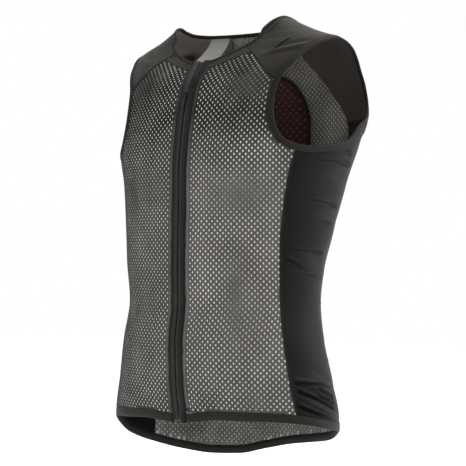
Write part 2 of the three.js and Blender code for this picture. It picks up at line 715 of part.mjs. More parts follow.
function addHemBand(left, right) {
  const round = (key) => {
    const half = ({ [key]: { front, side, back } }) => joined(front, side, back);
    return acrossBack(half(left), half(right));
  };
  addCloth("hem_band", "stretch", strip(round("hem"), round("hemSeam")), { raise: HEM_RAISE });
}

// A strip of the zip between two distances left of the middle, with a row at each height.
const zipStrip = (near, far, heights) =>
  heights.map((z) => [near, far].map((x) => spot(turnAcross(x, z), z)));

function addZip(zipSide) {
  const foot = hemHeight(0);
  const closed = -FRONT_NECK_DROP - ZIP_OPEN_LENGTH;
  const boxTop = foot + ZIP_BOX_LENGTH;
  const heights = [foot, ...zipSide.map(({ z }) => z), neckHeight(zipTop)];
  const openHeights = [closed, ...heights.filter((z) => z > closed + GAP)];
  const shutHeights = [boxTop, ...heights.filter((z) => z > boxTop + GAP && z < closed - GAP), closed];
  const teeth = { thickness: TEETH_THICKNESS, raise: TEETH_RAISE };
  for (const [side, word] of [[1, "left"], [-1, "right"]]) {
    const tape = zipStrip(TEETH_HALF_WIDTH, ZIP_BAND_HALF_WIDTH, heights);
    addCloth(`zip_tape_${word}`, "zip", onSide(side, tape), { thickness: TAPE });
    const open = zipStrip(TEETH_HALF_WIDTH * 0.3, TEETH_HALF_WIDTH, openHeights);
    addCloth(`zip_teeth_${word}`, "zip", onSide(side, open), teeth);
  }
  const across = (half, ...rows) => zipStrip(-half, half, rows);
  addCloth("zip_teeth", "zip", across(TEETH_HALF_WIDTH, ...shutHeights), teeth);
  addCloth("zip_box", "zip", across(TEETH_HALF_WIDTH, foot, boxTop), {
    thickness: TEETH_THICKNESS + ZIP_BOX_RAISE,
    raise: TEETH_RAISE + ZIP_BOX_RAISE,
  });
  const sliderFace = TEETH_RAISE + GAP + SLIDER_THICKNESS;
  addCloth("zip_slider", "metal", across(SLIDER_WIDTH / 2, closed - SLIDER_LENGTH, closed), {
    thickness: SLIDER_THICKNESS,
    raise: sliderFace,
  });
  const pullTop = closed - SLIDER_LENGTH / 3;
  addCloth("zip_pull", "metal", across(PULL_WIDTH / 2, pullTop - PULL_LENGTH, pullTop), {
    thickness: PULL_THICKNESS,
    raise: sliderFace + GAP * 2 + PULL_THICKNESS,
  });
}

// The point on the back of the body at a distance left of the middle.
const backSpot = (x, z) => spot(HALF_CIRCLE - turnAcross(x, z), z);

// The spine pocket has straight sides under a round top.
function addPocket() {
  const dome = POCKET_HALF_WIDTH * POCKET_DOME;
  const shoulder = -POCKET_TOP - dome;
  const foot = -POCKET_TOP - POCKET_LENGTH;
  const arc = (degrees) => {
    const angle = THREE.MathUtils.degToRad(degrees);
    return backSpot(POCKET_HALF_WIDTH * Math.cos(angle), shoulder + dome * Math.sin(angle));
  };
  const upright = evenly(CELLS.pocketSide, (s) =>
    backSpot(POCKET_HALF_WIDTH, THREE.MathUtils.lerp(foot, shoulder, s)));
  const bend = evenly(CELLS.pocketBend, (s) => arc(POCKET_CORNER * s));
  const leftEdge = joined(upright, bend);
  const rightEdge = beyondBack(leftEdge);
  const topEdge = evenly(CELLS.pocketAcross, (s) =>
    arc(THREE.MathUtils.lerp(POCKET_CORNER, HALF_CIRCLE - POCKET_CORNER, s)));
  const footEdge = evenly(CELLS.pocketAcross, (s) =>
    backSpot(THREE.MathUtils.lerp(POCKET_HALF_WIDTH, -POCKET_HALF_WIDTH, s), foot));
  const inside = -CLOTH - POCKET_CLEARANCE;
  addCloth("spine_pocket", "lining", filledPatch(footEdge, topEdge, leftEdge, rightEdge), {
    thickness: POCKET_THICKNESS,
    raise: inside,
  });
  const outline = joined(footEdge, rightEdge, reversed(topEdge), reversed(leftEdge));
  const outer = shiftedEdge(outline, -POCKET_TAPE_WIDTH, true);
  addCloth("spine_pocket_tape", "tape", strip(outer, outline), {
    thickness: TAPE,
    raise: inside,
    closed: true,
  });
}

// The care label hangs from the neckline's inside and stands forward of the back at its foot.
function addLabel() {
  const middle = neckBackTurn(LABEL_OFFSET);
  const z = neckHeight(middle) - NECK_TAPE_WIDTH * 0.5;
  const normal = skinNormal(-middle, z);
  const start = skinPoint(-middle, z).addScaledVector(normal, TAPE_RAISE - TAPE - LABEL_CLEARANCE);
  const behind = normal.setZ(0).normalize();
  const across = new THREE.Vector3(0, 0, 1).cross(behind);
  const down = new THREE.Vector3(0, 0, -1);
  const grid = (depth) => evenly(CELLS.labelFall, (v) =>
    evenly(1, (u) => {
      const hang = 1 - v;
      const lean = LABEL_LEAN * hang * hang + LABEL_TWIST * hang * (u - 0.5);
      return start.clone()
        .addScaledVector(across, (u - 0.5) * LABEL_WIDTH)
        .addScaledVector(down, LABEL_LENGTH * hang)
        .addScaledVector(LABEL_FALL, lean * LABEL_LENGTH)
        .addScaledVector(behind, -depth);
    }));
  addMesh("care_label", "label", shellGeometry(grid(0), grid(LABEL_THICKNESS), false));
}

const left = sideEdges(1);
const right = sideEdges(-1);
for (const [side, word, edges] of [[1, "left", left], [-1, "right", right]]) {
  addFront(side, word, edges);
  addSidePanel(side, word, edges);
  addYoke(side, word);
  addArmholeTape(side, word);
}
addBack(left, right);
addNeckTape();
addHemBand(left, right);
addZip(left.zipSide);
addPocket();
addLabel();

export default vest;
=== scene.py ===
"""A sleeveless mesh protective vest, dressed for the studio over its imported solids.

Lengths are millimetres until a mesh is made. +Z is up, -Y is the front and +X is the wearer's
left. A place on the cloth is a pair: turn, the angle round the body in degrees from the centre
front, and z, the height. The solids' own seams follow the same rule.
"""

import bmesh
import bpy
import numpy as np
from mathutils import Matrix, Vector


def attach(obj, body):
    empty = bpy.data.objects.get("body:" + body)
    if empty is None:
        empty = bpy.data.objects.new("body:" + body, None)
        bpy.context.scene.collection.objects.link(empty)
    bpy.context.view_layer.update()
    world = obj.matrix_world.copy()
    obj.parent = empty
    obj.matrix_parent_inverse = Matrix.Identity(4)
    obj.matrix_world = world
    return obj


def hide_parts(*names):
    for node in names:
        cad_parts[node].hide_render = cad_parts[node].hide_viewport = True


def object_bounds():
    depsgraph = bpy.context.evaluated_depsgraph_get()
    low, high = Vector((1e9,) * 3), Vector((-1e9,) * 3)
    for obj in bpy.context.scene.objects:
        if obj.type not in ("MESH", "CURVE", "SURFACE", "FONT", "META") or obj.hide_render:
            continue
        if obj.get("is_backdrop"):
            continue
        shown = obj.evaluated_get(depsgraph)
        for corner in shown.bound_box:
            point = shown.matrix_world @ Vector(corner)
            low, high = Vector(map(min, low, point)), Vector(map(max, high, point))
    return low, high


MM = 0.001

# Heights and widths of the vest.
FRONT_LENGTH = 589
TAIL_DROP = 72
WAIST_LEVEL = 417
CHEST_LEVEL = 190
ARMHOLE_DEPTH = 196
SHOULDER_DROP = 35
FRONT_NECK_DROP = 69
BACK_NECK_DROP = 8
NECK_HALF_WIDTH = 98
SHOULDER_HALF_WIDTH = 176
CHEST_HALF_WIDTH = 203
WAIST_HALF_WIDTH = 161
HEM_HALF_WIDTH = 194
FRONT_DEPTH = 116
BACK_DEPTH = 133
NECK_BACK_DEPTH = 68

# Cloth, tapes and zip.
CLOTH = 2
NECK_TAPE_WIDTH = 5.5
ARM_TAPE_WIDTH = 9.5
HEM_BAND_WIDTH = 13
ZIP_BAND_HALF_WIDTH = 13.5
ZIP_OPEN_LENGTH = 42
ZIP_OPEN_HALF_GAP = 4

# Level sections: z, half width, how far back the widest point lies, depth in front, depth behind,
# and how much the corners of the front and of the back fill out.
SECTIONS = np.array([
    (-FRONT_LENGTH - TAIL_DROP * 1.2, HEM_HALF_WIDTH, -0.08, 0.97, 0.73, 0, 0),
    (-FRONT_LENGTH, HEM_HALF_WIDTH, -0.08, 0.98, 0.75, 0, 0),
    (-FRONT_LENGTH * 0.905, HEM_HALF_WIDTH * 0.935, -0.085, 1.04, 0.75, 0, 0),
    (-FRONT_LENGTH * 0.81, HEM_HALF_WIDTH * 0.88, -0.11, 1.06, 0.67, 0, 0),
    (-WAIST_LEVEL, WAIST_HALF_WIDTH, -0.085, 1, 0.7, 0, 0),
    (-WAIST_LEVEL * 0.887, WAIST_HALF_WIDTH * 1.03, -0.085, 1.01, 0.76, 0, 0),
    (-WAIST_LEVEL * 0.772, CHEST_HALF_WIDTH * 0.857, -0.02, 1, 0.85, 0, 0),
    (-CHEST_LEVEL * 1.263, CHEST_HALF_WIDTH * 0.92, 0.08, 0.99, 1.01, 0, 0.03),
    (-CHEST_LEVEL, CHEST_HALF_WIDTH * 0.985, 0.14, 0.95, 1.03, 0.01, 0.06),
    (-CHEST_LEVEL * 0.76, CHEST_HALF_WIDTH * 1.015, 0.2, 0.88, 1.03, 0.02, 0.11),
    (-FRONT_NECK_DROP * 1.5, CHEST_HALF_WIDTH * 0.995, 0.22, 0.77, 0.99, 0.04, 0.12),
    (-FRONT_NECK_DROP, CHEST_HALF_WIDTH * 0.955, 0.22, 0.55, 0.93, 0.1, 0.11),
    (-SHOULDER_DROP * 1.5, SHOULDER_HALF_WIDTH * 1.086, 0.22, 0.425, 0.855, 0.09, 0.09),
    (-SHOULDER_DROP * 1.2, SHOULDER_HALF_WIDTH * 1.052, 0.215, 0.35, 0.79, 0.075, 0.075),
    (-SHOULDER_DROP, SHOULDER_HALF_WIDTH, 0.21, 0.305, 0.74, 0.06, 0.06),
    (-SHOULDER_DROP * 0.6, NECK_HALF_WIDTH + (SHOULDER_HALF_WIDTH - NECK_HALF_WIDTH) * 0.54,
     0.15, 0.26, 0.62, 0.03, 0.02),
    (0, NECK_HALF_WIDTH, 0.08, 0.23, NECK_BACK_DEPTH / BACK_DEPTH, 0, 0),
    (SHOULDER_DROP * 0.3, NECK_HALF_WIDTH * 0.8, 0.06, 0.2, NECK_BACK_DEPTH / BACK_DEPTH * 0.9, 0, 0),
])

# The neckline: turn, and the drop as a share of the front or the back neck's drop.
NECKLINE = np.array([
    (0, 1), (8, 0.89), (14, 0.77), (20, 0.63), (28, 0.43), (37, 0.26), (55, 0.1), (75, 0.02),
    (90, 0), (105, 0.4), (122, 0.85), (140, 1), (180, 1),
])

# The hem: turn, and the drop below the front's length as a share of the tail's drop.
HEM = np.array([
    (-180, 0.84), (-165, 1), (-150, 1.03), (-135, 0.96), (-115, 0.79), (-95, 0.57), (-75, 0.25),
    (-60, 0.1), (-40, 0.05), (-20, 0.0), (-5, 0.035), (5, 0.02), (20, -0.06), (40, -0.065),
    (60, -0.03), (90, 0.12), (113, 0.22), (134, 0.48), (150, 0.59), (165, 0.69), (180, 0.84),
])

# The left armhole, from the front of the yoke down, under the arm and up the back: turn, and the
# drop as a share of its depth.
ARMHOLE = np.array([
    (42, 0.53), (41, 0.73), (44.5, 0.88), (50.5, 0.96), (64, 1), (90, 0.955), (102, 0.83),
    (119, 0.72), (124, 0.46), (119, 0.3), (106, 0.2), (88, 0.183), (61, 0.24), (49, 0.34),
])
FRONT_SEAM_ROW = 3.5
SIDE_TOP_ROW = 7

# The body seams from the hem up: share of the height, turn.
FRONT_SEAM = np.array([
    (0, 61.7), (0.25, 62), (0.42, 61), (0.56, 58.8), (0.68, 55.3), (0.86, 54.2), (1, 54),
])
BACK_SEAM = np.array([(0, 115), (0.3, 117), (0.6, 123), (0.85, 134), (1, 143.5)])

# The yoke seams from the neckline out: share of the length, turn, and the drop as a share of the
# front neck's drop in front and of the armhole's depth behind.
YOKE_FRONT_SEAM = np.array([(0, 19, 0.66), (0.3, 26, 0.87), (0.68, 34, 1.2), (1, 42, 1.5)])
YOKE_BACK_SEAM = np.array([
    (0, 156.5, 0.04), (0.25, 160, 0.22), (0.5, 154.5, 0.41), (1, 143.5, 0.765),
])

# Folds that the solids have too: turn, height as a share of the front's length, lean, half
# length, half width and rise.
FOLDS = [
    (88, 0.925, -0.34, 42, 6, 3.2), (92, 0.955, -0.34, 40, 6, -2.6), (84, 0.968, -0.34, 34, 6, 2.6),
    (96, 0.895, -0.3, 34, 6, -2.4), (96, 0.4, -0.12, 44, 9, -2.6), (98, 0.5, -0.12, 40, 9, -2.6),
    (90, 0.6, -0.15, 40, 9, -2.4), (-88, 0.93, 0.34, 42, 7, 3), (-92, 0.965, 0.34, 40, 7, -2.4),
    (-96, 0.42, 0.12, 44, 9, -2.6), (-94, 0.55, 0.12, 44, 9, -2.6), (-30, 0.3, 0.5, 60, 26, 3),
    (30, 0.36, -0.3, 60, 28, 3), (28, 0.56, -0.8, 70, 24, -3), (-34, 0.7, 0.7, 60, 22, -3),
    (30, 0.8, 0.6, 60, 24, 2.6),
]
# How far one degree reaches round the cloth, on the average.
REACH_OF_DEGREE = CHEST_HALF_WIDTH * np.pi * 0.8 / 180


# The skin of the body.

def through(rows, column, x):
    """A smooth curve through a table's rows that never overshoots them."""
    at, value = rows[:, 0], rows[:, column]
    x = np.clip(x, at[0], at[-1])
    slope = np.diff(value) / np.diff(at)
    before, after = slope[:-1], slope[1:]
    same = before * after > 0
    middle = np.where(same, 2 * before * after / np.where(same, before + after, 1), 0)
    tangent = np.concatenate([slope[:1], middle, slope[-1:]])
    i = np.clip(np.searchsorted(at, x, side="right") - 1, 0, len(at) - 2)
    span = at[i + 1] - at[i]
    s = (x - at[i]) / span
    rest = 1 - s
    return (
        value[i] * rest * rest * (1 + 2 * s) + value[i + 1] * s * s * (1 + 2 * rest)
        + tangent[i] * span * s * rest * rest - tangent[i + 1] * span * s * s * rest
    )


def round_loop(rows, column, place):
    """An even closed curve through a table's rows; place counts rows."""
    count = len(rows)
    i = np.floor(place).astype(int)
    s = place - i
    a, b, c, d = (rows[(i + k) % count, column] for k in (-1, 0, 1, 2))
    return b + 0.5 * s * (c - a + s * (2 * a - 5 * b + 4 * c - d + s * (3 * (b - c) + d - a)))


def wrapped(turn):
    return (turn + 180) % 360 - 180


def plain_point(turn, z):
    """The skin without its folds, as an array of points."""
    turn, z = np.broadcast_arrays(np.asarray(turn, float), np.asarray(z, float))
    width, ridge, front, back, chest, blade = (through(SECTIONS, k, z) for k in range(1, 7))
    place = wrapped(turn)
    angle = np.radians(np.abs(place))
    facing = np.abs(place) < 90
    fill = 1 + np.where(facing, chest, blade) * np.sin(2 * angle) ** 2
    ridge = ridge * BACK_DEPTH
    depth = np.where(facing, front * FRONT_DEPTH + ridge, back * BACK_DEPTH - ridge)
    x = width * np.sin(angle) * fill
    y = ridge - depth * np.cos(angle) * fill
    open_share = np.maximum((z + FRONT_NECK_DROP + ZIP_OPEN_LENGTH) / ZIP_OPEN_LENGTH, 0)
    parting = np.where(facing, ZIP_OPEN_HALF_GAP * open_share**1.5 * np.exp(-((x / 40) ** 2)), 0)
    side = np.where(place < 0, -1, 1)
    return np.stack([side * (x + parting), y, z], axis=-1)


def fold_rise(turn, z, folds):
    rise = 0.0
    for at, height, lean, reach, spread, amount in folds:
        around = wrapped(turn - at) * REACH_OF_DEGREE
        across = z + height * FRONT_LENGTH - lean * around
        rise = rise + amount * np.exp(-((around / reach) ** 2) - (across / spread) ** 2)
    return rise


# The skin's slope is measured this far to each side of a place.
SLOPE_STEP = 0.25


def skin_directions(turn, z):
    """How the plain skin runs for one degree round and for one millimetre up."""
    along = plain_point(turn + SLOPE_STEP, z) - plain_point(turn - SLOPE_STEP, z)
    up = plain_point(turn, z + SLOPE_STEP) - plain_point(turn, z - SLOPE_STEP)
    return along / (2 * SLOPE_STEP), up / (2 * SLOPE_STEP)


def size_of(vectors):
    return np.linalg.norm(vectors, axis=-1)


def unit(vectors):
    return vectors / size_of(vectors)[..., None]


def dot(first, second):
    return (first * second).sum(axis=-1)


def skin_normal(turn, z):
    return unit(np.cross(*skin_directions(turn, z)))


def skin(places, lift=0.0):
    """Points on the folded skin. places ends in (turn, z), and lift is the height above it."""
    turn, z = places[..., 0], places[..., 1]
    rise = fold_rise(turn, z, FOLDS) + lift
    return plain_point(turn, z) + skin_normal(turn, z) * np.asarray(rise)[..., None]


def upright_frame(place):
    """The directions right, up and out on the cloth at places."""
    out = skin_normal(place[..., 0], place[..., 1])
    up = unit(skin(place + (0, 1)) - skin(place - (0, 1)))
    return np.stack([unit(np.cross(up, out)), up, out], axis=-2)


def run_along(points):
    """The length along a line of points, from 0."""
    return np.concatenate([[0], np.cumsum(size_of(np.diff(points, axis=0)))])


# Edges and seams: arrays of (turn, z).

def spots(turn, z):
    return np.stack(np.broadcast_arrays(np.asarray(turn, float), np.asarray(z, float)), axis=-1)


def mirrored(edge):
    return edge * (-1, 1)


def beyond_back(edge):
    return edge * (-1, 1) + (360, 0)


def joined(*edges):
    return np.concatenate([edges[0], *(edge[1:] for edge in edges[1:])])


def rim_of(grid):
    """The outline of a grid, closed."""
    return joined(grid[0], grid[:, -1], grid[-1, ::-1], grid[::-1, 0])


def to_side(side, edge):
    return edge if side > 0 else mirrored(edge)


def across_back(left, right):
    return joined(left, beyond_back(right)[::-1])


def neck_height(turn):
    drop = np.where(np.abs(turn) <= 90, FRONT_NECK_DROP, BACK_NECK_DROP)
    return -drop * through(NECKLINE, 1, np.abs(turn))


def hem_height(turn):
    return -FRONT_LENGTH - TAIL_DROP * through(HEM, 1, wrapped(turn))


def turn_across(x, z):
    """The angle at which the front of the body is x left of the middle."""
    return np.degrees(np.arcsin(x / through(SECTIONS, 1, z)))


def beside_zip(height, distance=ZIP_BAND_HALF_WIDTH):
    """Places at heights, a distance left of the middle."""
    return spots(turn_across(distance, height), height)


# An edge is moved over the curved skin in this many steps.
SHIFT_STEPS = 4


def shifted_edge(edge, distance, closed=False):
    """Moves an edge over the skin, to the left of its own direction seen from outside."""
    moved = edge
    for _ in range(SHIFT_STEPS):
        if closed:
            before = np.concatenate([moved[-2:-1], moved[:-1]])
            after = np.concatenate([moved[1:], moved[1:2]])
        else:
            before = np.concatenate([moved[:1], moved[:-1]])
            after = np.concatenate([moved[1:], moved[-1:]])
        along, up = skin_directions(moved[:, 0], moved[:, 1])
        course = plain_point(*after.T) - plain_point(*before.T)
        sideways = unit(np.cross(unit(np.cross(along, up)), course)) * distance / SHIFT_STEPS
        rr, ru, uu = dot(along, along), dot(along, up), dot(up, up)
        sr, su = dot(sideways, along), dot(sideways, up)
        size = rr * uu - ru * ru
        moved = moved + np.stack([(sr * uu - su * ru) / size, (su * rr - sr * ru) / size], axis=-1)
    return moved


def arm_edge(first, last, cells):
    place = np.linspace(first, last, cells + 1)
    return spots(round_loop(ARMHOLE, 0, place), -ARMHOLE_DEPTH * round_loop(ARMHOLE, 1, place))


def edge_between(line, start, end):
    """Moves a line so that it starts and ends on two corners."""
    s = np.linspace(0, 1, len(line))[:, None]
    return line + (start - line[0]) * (1 - s) + (end - line[-1]) * s


ARM_FRONT, ARM_UNDER, ARM_OVER = 36, 54, 90
SEAM_ROWS, YOKE_SEAM = 90, 36
armhole_edge = joined(
    arm_edge(0, FRONT_SEAM_ROW, ARM_FRONT),
    arm_edge(FRONT_SEAM_ROW, SIDE_TOP_ROW, ARM_UNDER),
    arm_edge(SIDE_TOP_ROW, len(ARMHOLE), ARM_OVER),
)
armhole_seam = shifted_edge(armhole_edge, -ARM_TAPE_WIDTH, closed=True)
arm_front_seam = armhole_seam[:ARM_FRONT + 1]
arm_under_seam = armhole_seam[ARM_FRONT:ARM_FRONT + ARM_UNDER + 1]
arm_over_seam = armhole_seam[ARM_FRONT + ARM_UNDER:]


def body_seam(rows, start, end):
    s = np.linspace(0, 1, SEAM_ROWS + 1)
    line = spots(through(rows, 1, s), start[1] + (end[1] - start[1]) * s)
    return edge_between(line, start, end)


def yoke_seam(rows, start, end, unit_drop):
    s = np.linspace(0, 1, YOKE_SEAM + 1)
    return edge_between(spots(through(rows, 1, s), -unit_drop * through(rows, 2, s)), start, end)


def neck_edge(first, last, cells):
    turn = np.linspace(first, last, cells + 1)
    return spots(turn, neck_height(turn))


NECK_FRONT, NECK_OVER, NECK_BACK = 16, 100, 30
zip_top = float(turn_across(ZIP_BAND_HALF_WIDTH, -FRONT_NECK_DROP))
neck_left = joined(
    neck_edge(zip_top, YOKE_FRONT_SEAM[0, 1], NECK_FRONT),
    neck_edge(YOKE_FRONT_SEAM[0, 1], YOKE_BACK_SEAM[0, 1], NECK_OVER),
    neck_edge(YOKE_BACK_SEAM[0, 1], 180, NECK_BACK),
)
neck_seam = shifted_edge(neck_left, -NECK_TAPE_WIDTH)
neck_seam_foot = neck_left[0, 1] - NECK_TAPE_WIDTH
neck_seam[0] = beside_zip(neck_seam_foot)
front_neck_seam = neck_seam[:NECK_FRONT + 1]
yoke_neck_seam = neck_seam[NECK_FRONT:NECK_FRONT + NECK_OVER + 1]
back_neck_seam = neck_seam[NECK_FRONT + NECK_OVER:]
yoke_front_seam = yoke_seam(YOKE_FRONT_SEAM, yoke_neck_seam[0], arm_front_seam[0], FRONT_NECK_DROP)
side_back_top = np.array([YOKE_BACK_SEAM[-1, 1], -ARMHOLE_DEPTH * YOKE_BACK_SEAM[-1, 2]])
yoke_back_seam = yoke_seam(YOKE_BACK_SEAM, back_neck_seam[0], side_back_top, ARMHOLE_DEPTH)


def straight(start, end, cells):
    return start + (end - start) * np.linspace(0, 1, cells + 1)[:, None]


yoke_side_seam = straight(side_back_top, arm_under_seam[-1], NECK_OVER - ARM_OVER)


def hem_line(first, last, cells, side, lift):
    turn = np.linspace(first, last, cells + 1)
    return spots(turn, hem_height(side * turn) + lift)


def side_edges(side):
    """The lower edges and the body seams of one side, as if it were the left."""
    zip_turn = float(turn_across(ZIP_BAND_HALF_WIDTH, -FRONT_LENGTH))
    front_turn, back_turn = FRONT_SEAM[0, 1], BACK_SEAM[0, 1]
    edges = {}
    for name, lift in (("hem", 0), ("hem_seam", HEM_BAND_WIDTH)):
        edges[name] = (
            hem_line(zip_turn, front_turn, NECK_FRONT + YOKE_SEAM, side, lift),
            hem_line(front_turn, back_turn, ARM_UNDER + NECK_OVER - ARM_OVER, side, lift),
            hem_line(back_turn, 180, NECK_BACK, side, lift),
        )
    edges["front_seam"] = body_seam(FRONT_SEAM, edges["hem_seam"][1][0], arm_front_seam[-1])
    edges["back_seam"] = body_seam(BACK_SEAM, edges["hem_seam"][2][0], side_back_top)
    foot = edges["hem_seam"][0][0, 1]
    edges["zip_side"] = beside_zip(np.linspace(foot, neck_seam_foot, SEAM_ROWS + ARM_FRONT + 1))
    return edges


def filled(low, high, left, right):
    """Fills the space between four edges. low and high run left to right, left and right run up."""
    u = np.linspace(0, 1, len(low))[None, :, None]
    v = np.linspace(0, 1, len(left))[:, None, None]
    corners = (
        low[0] * (1 - u) * (1 - v) + low[-1] * u * (1 - v) + high[0] * (1 - u) * v + high[-1] * u * v
    )
    return low[None] * (1 - v) + high[None] * v + left[:, None] * (1 - u) + right[:, None] * u - corners


# Lengths over the cloth, so that weaves and meshes keep their real size.

TABLE_STEP = 4
Z_TABLE = np.arange(-700.0, 13.0, TABLE_STEP)
TURN_TABLE = np.arange(-184.0, 366.0, 1.0)
LENGTH_TABLE = np.arange(-420.0, 421.0, 1.0)
UPWARD = run_along(plain_point(25.0, Z_TABLE))


def centre_column(centre):
    return int(np.argmin(np.abs(TURN_TABLE - centre)))


def lengths_around():
    points = plain_point(TURN_TABLE[None], Z_TABLE[:, None])
    steps = size_of(np.diff(points, axis=1))
    around = np.concatenate([np.zeros((len(Z_TABLE), 1)), np.cumsum(steps, axis=1)], axis=1)
    return around - around[:, [centre_column(0)]]


AROUND = lengths_around()


def looked_up(table, z, column):
    """Reads a table with one row for each height in Z_TABLE, at heights and at columns."""
    row = np.clip((z - Z_TABLE[0]) / TABLE_STEP, 0, len(Z_TABLE) - 1.001)
    column = np.clip(column, 0, table.shape[1] - 1.001)
    j, i = row.astype(int), column.astype(int)
    fj, fi = row - j, column - i
    return (
        table[j, i] * (1 - fj) * (1 - fi) + table[j + 1, i] * fj * (1 - fi)
        + table[j, i + 1] * (1 - fj) * fi + table[j + 1, i + 1] * fj * fi
    )


def over_cloth(places, centre=0.0):
    """How far round from a centre line and how far up the cloth a place is."""
    turn, z = places[..., 0], places[..., 1]
    around = looked_up(AROUND - AROUND[:, [centre_column(centre)]], z, turn - TURN_TABLE[0])
    return np.stack([around, np.interp(z, Z_TABLE, UPWARD)], axis=-1)


def from_cloth(lengths, centre):
    """The place that lies so far round from a centre line and so far up the cloth."""
    start = centre_column(centre)
    turns = np.stack([np.interp(LENGTH_TABLE + line[start], line, TURN_TABLE) for line in AROUND])
    z = np.interp(lengths[..., 1], UPWARD, Z_TABLE)
    return spots(looked_up(turns, z, lengths[..., 0] - LENGTH_TABLE[0]), z)


# Making pieces.

def set_mode(mode):
    bpy.ops.object.mode_set(mode=mode)


def deselect():
    if bpy.context.object and bpy.context.object.mode != "OBJECT":
        set_mode("OBJECT")
    bpy.ops.object.select_all(action="DESELECT")


def just_made(name):
    """The shape that the last operator made, under its own name."""
    piece = bpy.context.object
    piece.name = piece.data.name = name
    return piece


def listed(parts, name, width, kind):
    """One property of all the parts of a mesh, as an array."""
    values = np.empty(len(parts) * width, dtype=kind)
    parts.foreach_get(name, values)
    return values.reshape(-1, width)


def corners_of(piece):
    return listed(piece.data.vertices, "co", 3, float)


def set_corners(piece, points):
    """Moves a piece's corners to points in millimetres."""
    piece.data.vertices.foreach_set("co", (points * MM).ravel())
    piece.data.update()


def piece_from(name, points, faces):
    """A new piece from its points, in millimetres, and its faces."""
    mesh = bpy.data.meshes.new(name)
    mesh.from_pydata((points.reshape(-1, 3) * MM).tolist(), [], faces)
    piece = bpy.data.objects.new(name, mesh)
    bpy.context.collection.objects.link(piece)
    return piece


def quads(index):
    """Faces over a grid of corner numbers."""
    faces = np.stack([index[:-1, :-1], index[:-1, 1:], index[1:, 1:], index[1:, :-1]], axis=-1)
    return faces.reshape(-1, 4).tolist()


def finished(piece, material, slot, *nodes):
    """Shades smooth and colours a piece, hangs it from the root and hides the solids that it stands for.
    """
    for face in piece.data.polygons:
        face.use_smooth = True
    piece.data.materials.clear()
    piece.data.materials.append(material)
    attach(piece, "root")
    if nodes:
        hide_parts(*nodes)
    return piece


outer_faces = {}


def walled(piece, thickness):
    """Gives a sheet its thickness, on the inside."""
    outer_faces[piece.name] = len(piece.data.polygons)
    apply_modifier(piece, "SOLIDIFY", thickness=thickness * MM, offset=-1)


def apply_modifier(piece, kind, **settings):
    modifier = piece.modifiers.new(kind.title(), kind)
    for key, value in settings.items():
        setattr(modifier, key, value)
    deselect()
    bpy.context.view_layer.objects.active = piece
    piece.select_set(True)
    bpy.ops.object.modifier_apply(modifier=modifier.name)


def set_lengths(piece, lengths):
    """Gives each corner its lengths over the cloth, in metres, as its UV."""
    layer = piece.data.uv_layers.new(name="cloth")
    corner = listed(piece.data.loops, "vertex_index", 1, np.int32)[:, 0]
    layer.data.foreach_set("uv", (lengths[corner] * MM).ravel())


def grid_piece(name, points, lengths):
    """A sheet through a grid of points, with its lengths over the cloth."""
    rows, columns = points.shape[:2]
    deselect()
    bpy.ops.mesh.primitive_grid_add(x_subdivisions=columns - 1, y_subdivisions=rows - 1, size=2)
    piece = just_made(name)
    set_corners(piece, points)
    set_lengths(piece, lengths.reshape(-1, 2))
    return piece


def cloth(name, places, lift, thickness=CLOTH, shade=None):
    """A sheet over a grid of places, with its thickness on the inside."""
    piece = grid_piece(name, skin(places, lift), over_cloth(places))
    if shade is not None:
        set_values(piece, shade)
    walled(piece, thickness)
    return piece


def swept(name, low, high, section, closed=False):
    """A band between two edges. section lists its outline as shares of the width and lifts."""
    share, lift = np.array(section).T
    if closed:
        low, high = low[:-1], high[:-1]
    places = low[:, None] * (1 - share[:, None]) + high[:, None] * share[:, None]
    points = skin(places, lift[None])
    rows, columns = points.shape[:2]
    index = np.arange(rows * columns).reshape(rows, columns)
    ends = [] if closed else [index[0, ::-1].tolist(), index[-1].tolist()]
    if closed:
        index = np.concatenate([index, index[:1]])
    faces = quads(np.concatenate([index, index[:, :1]], axis=1)) + ends
    piece = piece_from(name, points, faces)
    width = size_of(np.subtract(*skin(np.stack([low, high])[:, rows // 2])))
    run = run_along(points.mean(axis=1))
    lengths = np.stack(np.broadcast_arrays(run[:, None], share * max(width, 1)), axis=-1)
    set_lengths(piece, lengths.reshape(-1, 2))
    face_outwards(piece)
    return piece


def face_outwards(piece):
    work = bmesh.new()
    work.from_mesh(piece.data)
    bmesh.ops.recalc_face_normals(work, faces=work.faces)
    work.to_mesh(piece.data)
    work.free()


def band(low, high, rows):
    """Places that fill the strip between two edges."""
    v = np.linspace(0, 1, rows + 1)[:, None, None]
    return low[None] * (1 - v) + high[None] * v


def finer(places, down, across):
    """The same grid with each cell divided."""
    for axis, times in ((0, down), (1, across)):
        count = places.shape[axis]
        at = np.linspace(0, count - 1, (count - 1) * times + 1)
        i = np.minimum(at.astype(int), count - 2)
        share = (at - i).reshape((-1, 1, 1) if axis == 0 else (1, -1, 1))
        places = np.take(places, i, axis) * (1 - share) + np.take(places, i + 1, axis) * share
    return places


def held_edges(places, reach):
    """0 along the edges of a grid and 1 further in than reach."""
    points = skin(places)

    def from_edge(axis):
        step = size_of(np.diff(points, axis=axis))
        zero = np.zeros_like(np.take(step, [0], axis))
        run = np.concatenate([zero, np.cumsum(step, axis=axis)], axis=axis)
        return np.minimum(run, np.take(run, [-1], axis) - run)

    share = np.clip(np.minimum(from_edge(0), from_edge(1)) / reach, 0, 1)
    return share * share * (3 - 2 * share)


# Beside each crease's ridge lies a shallower furrow: its share of the rise and its distance in
# half widths. The taper past the ends is in half widths too.
FURROW_SHARE = 0.6
FURROW_PLACE = 1.9
CREASE_TAPER = 3


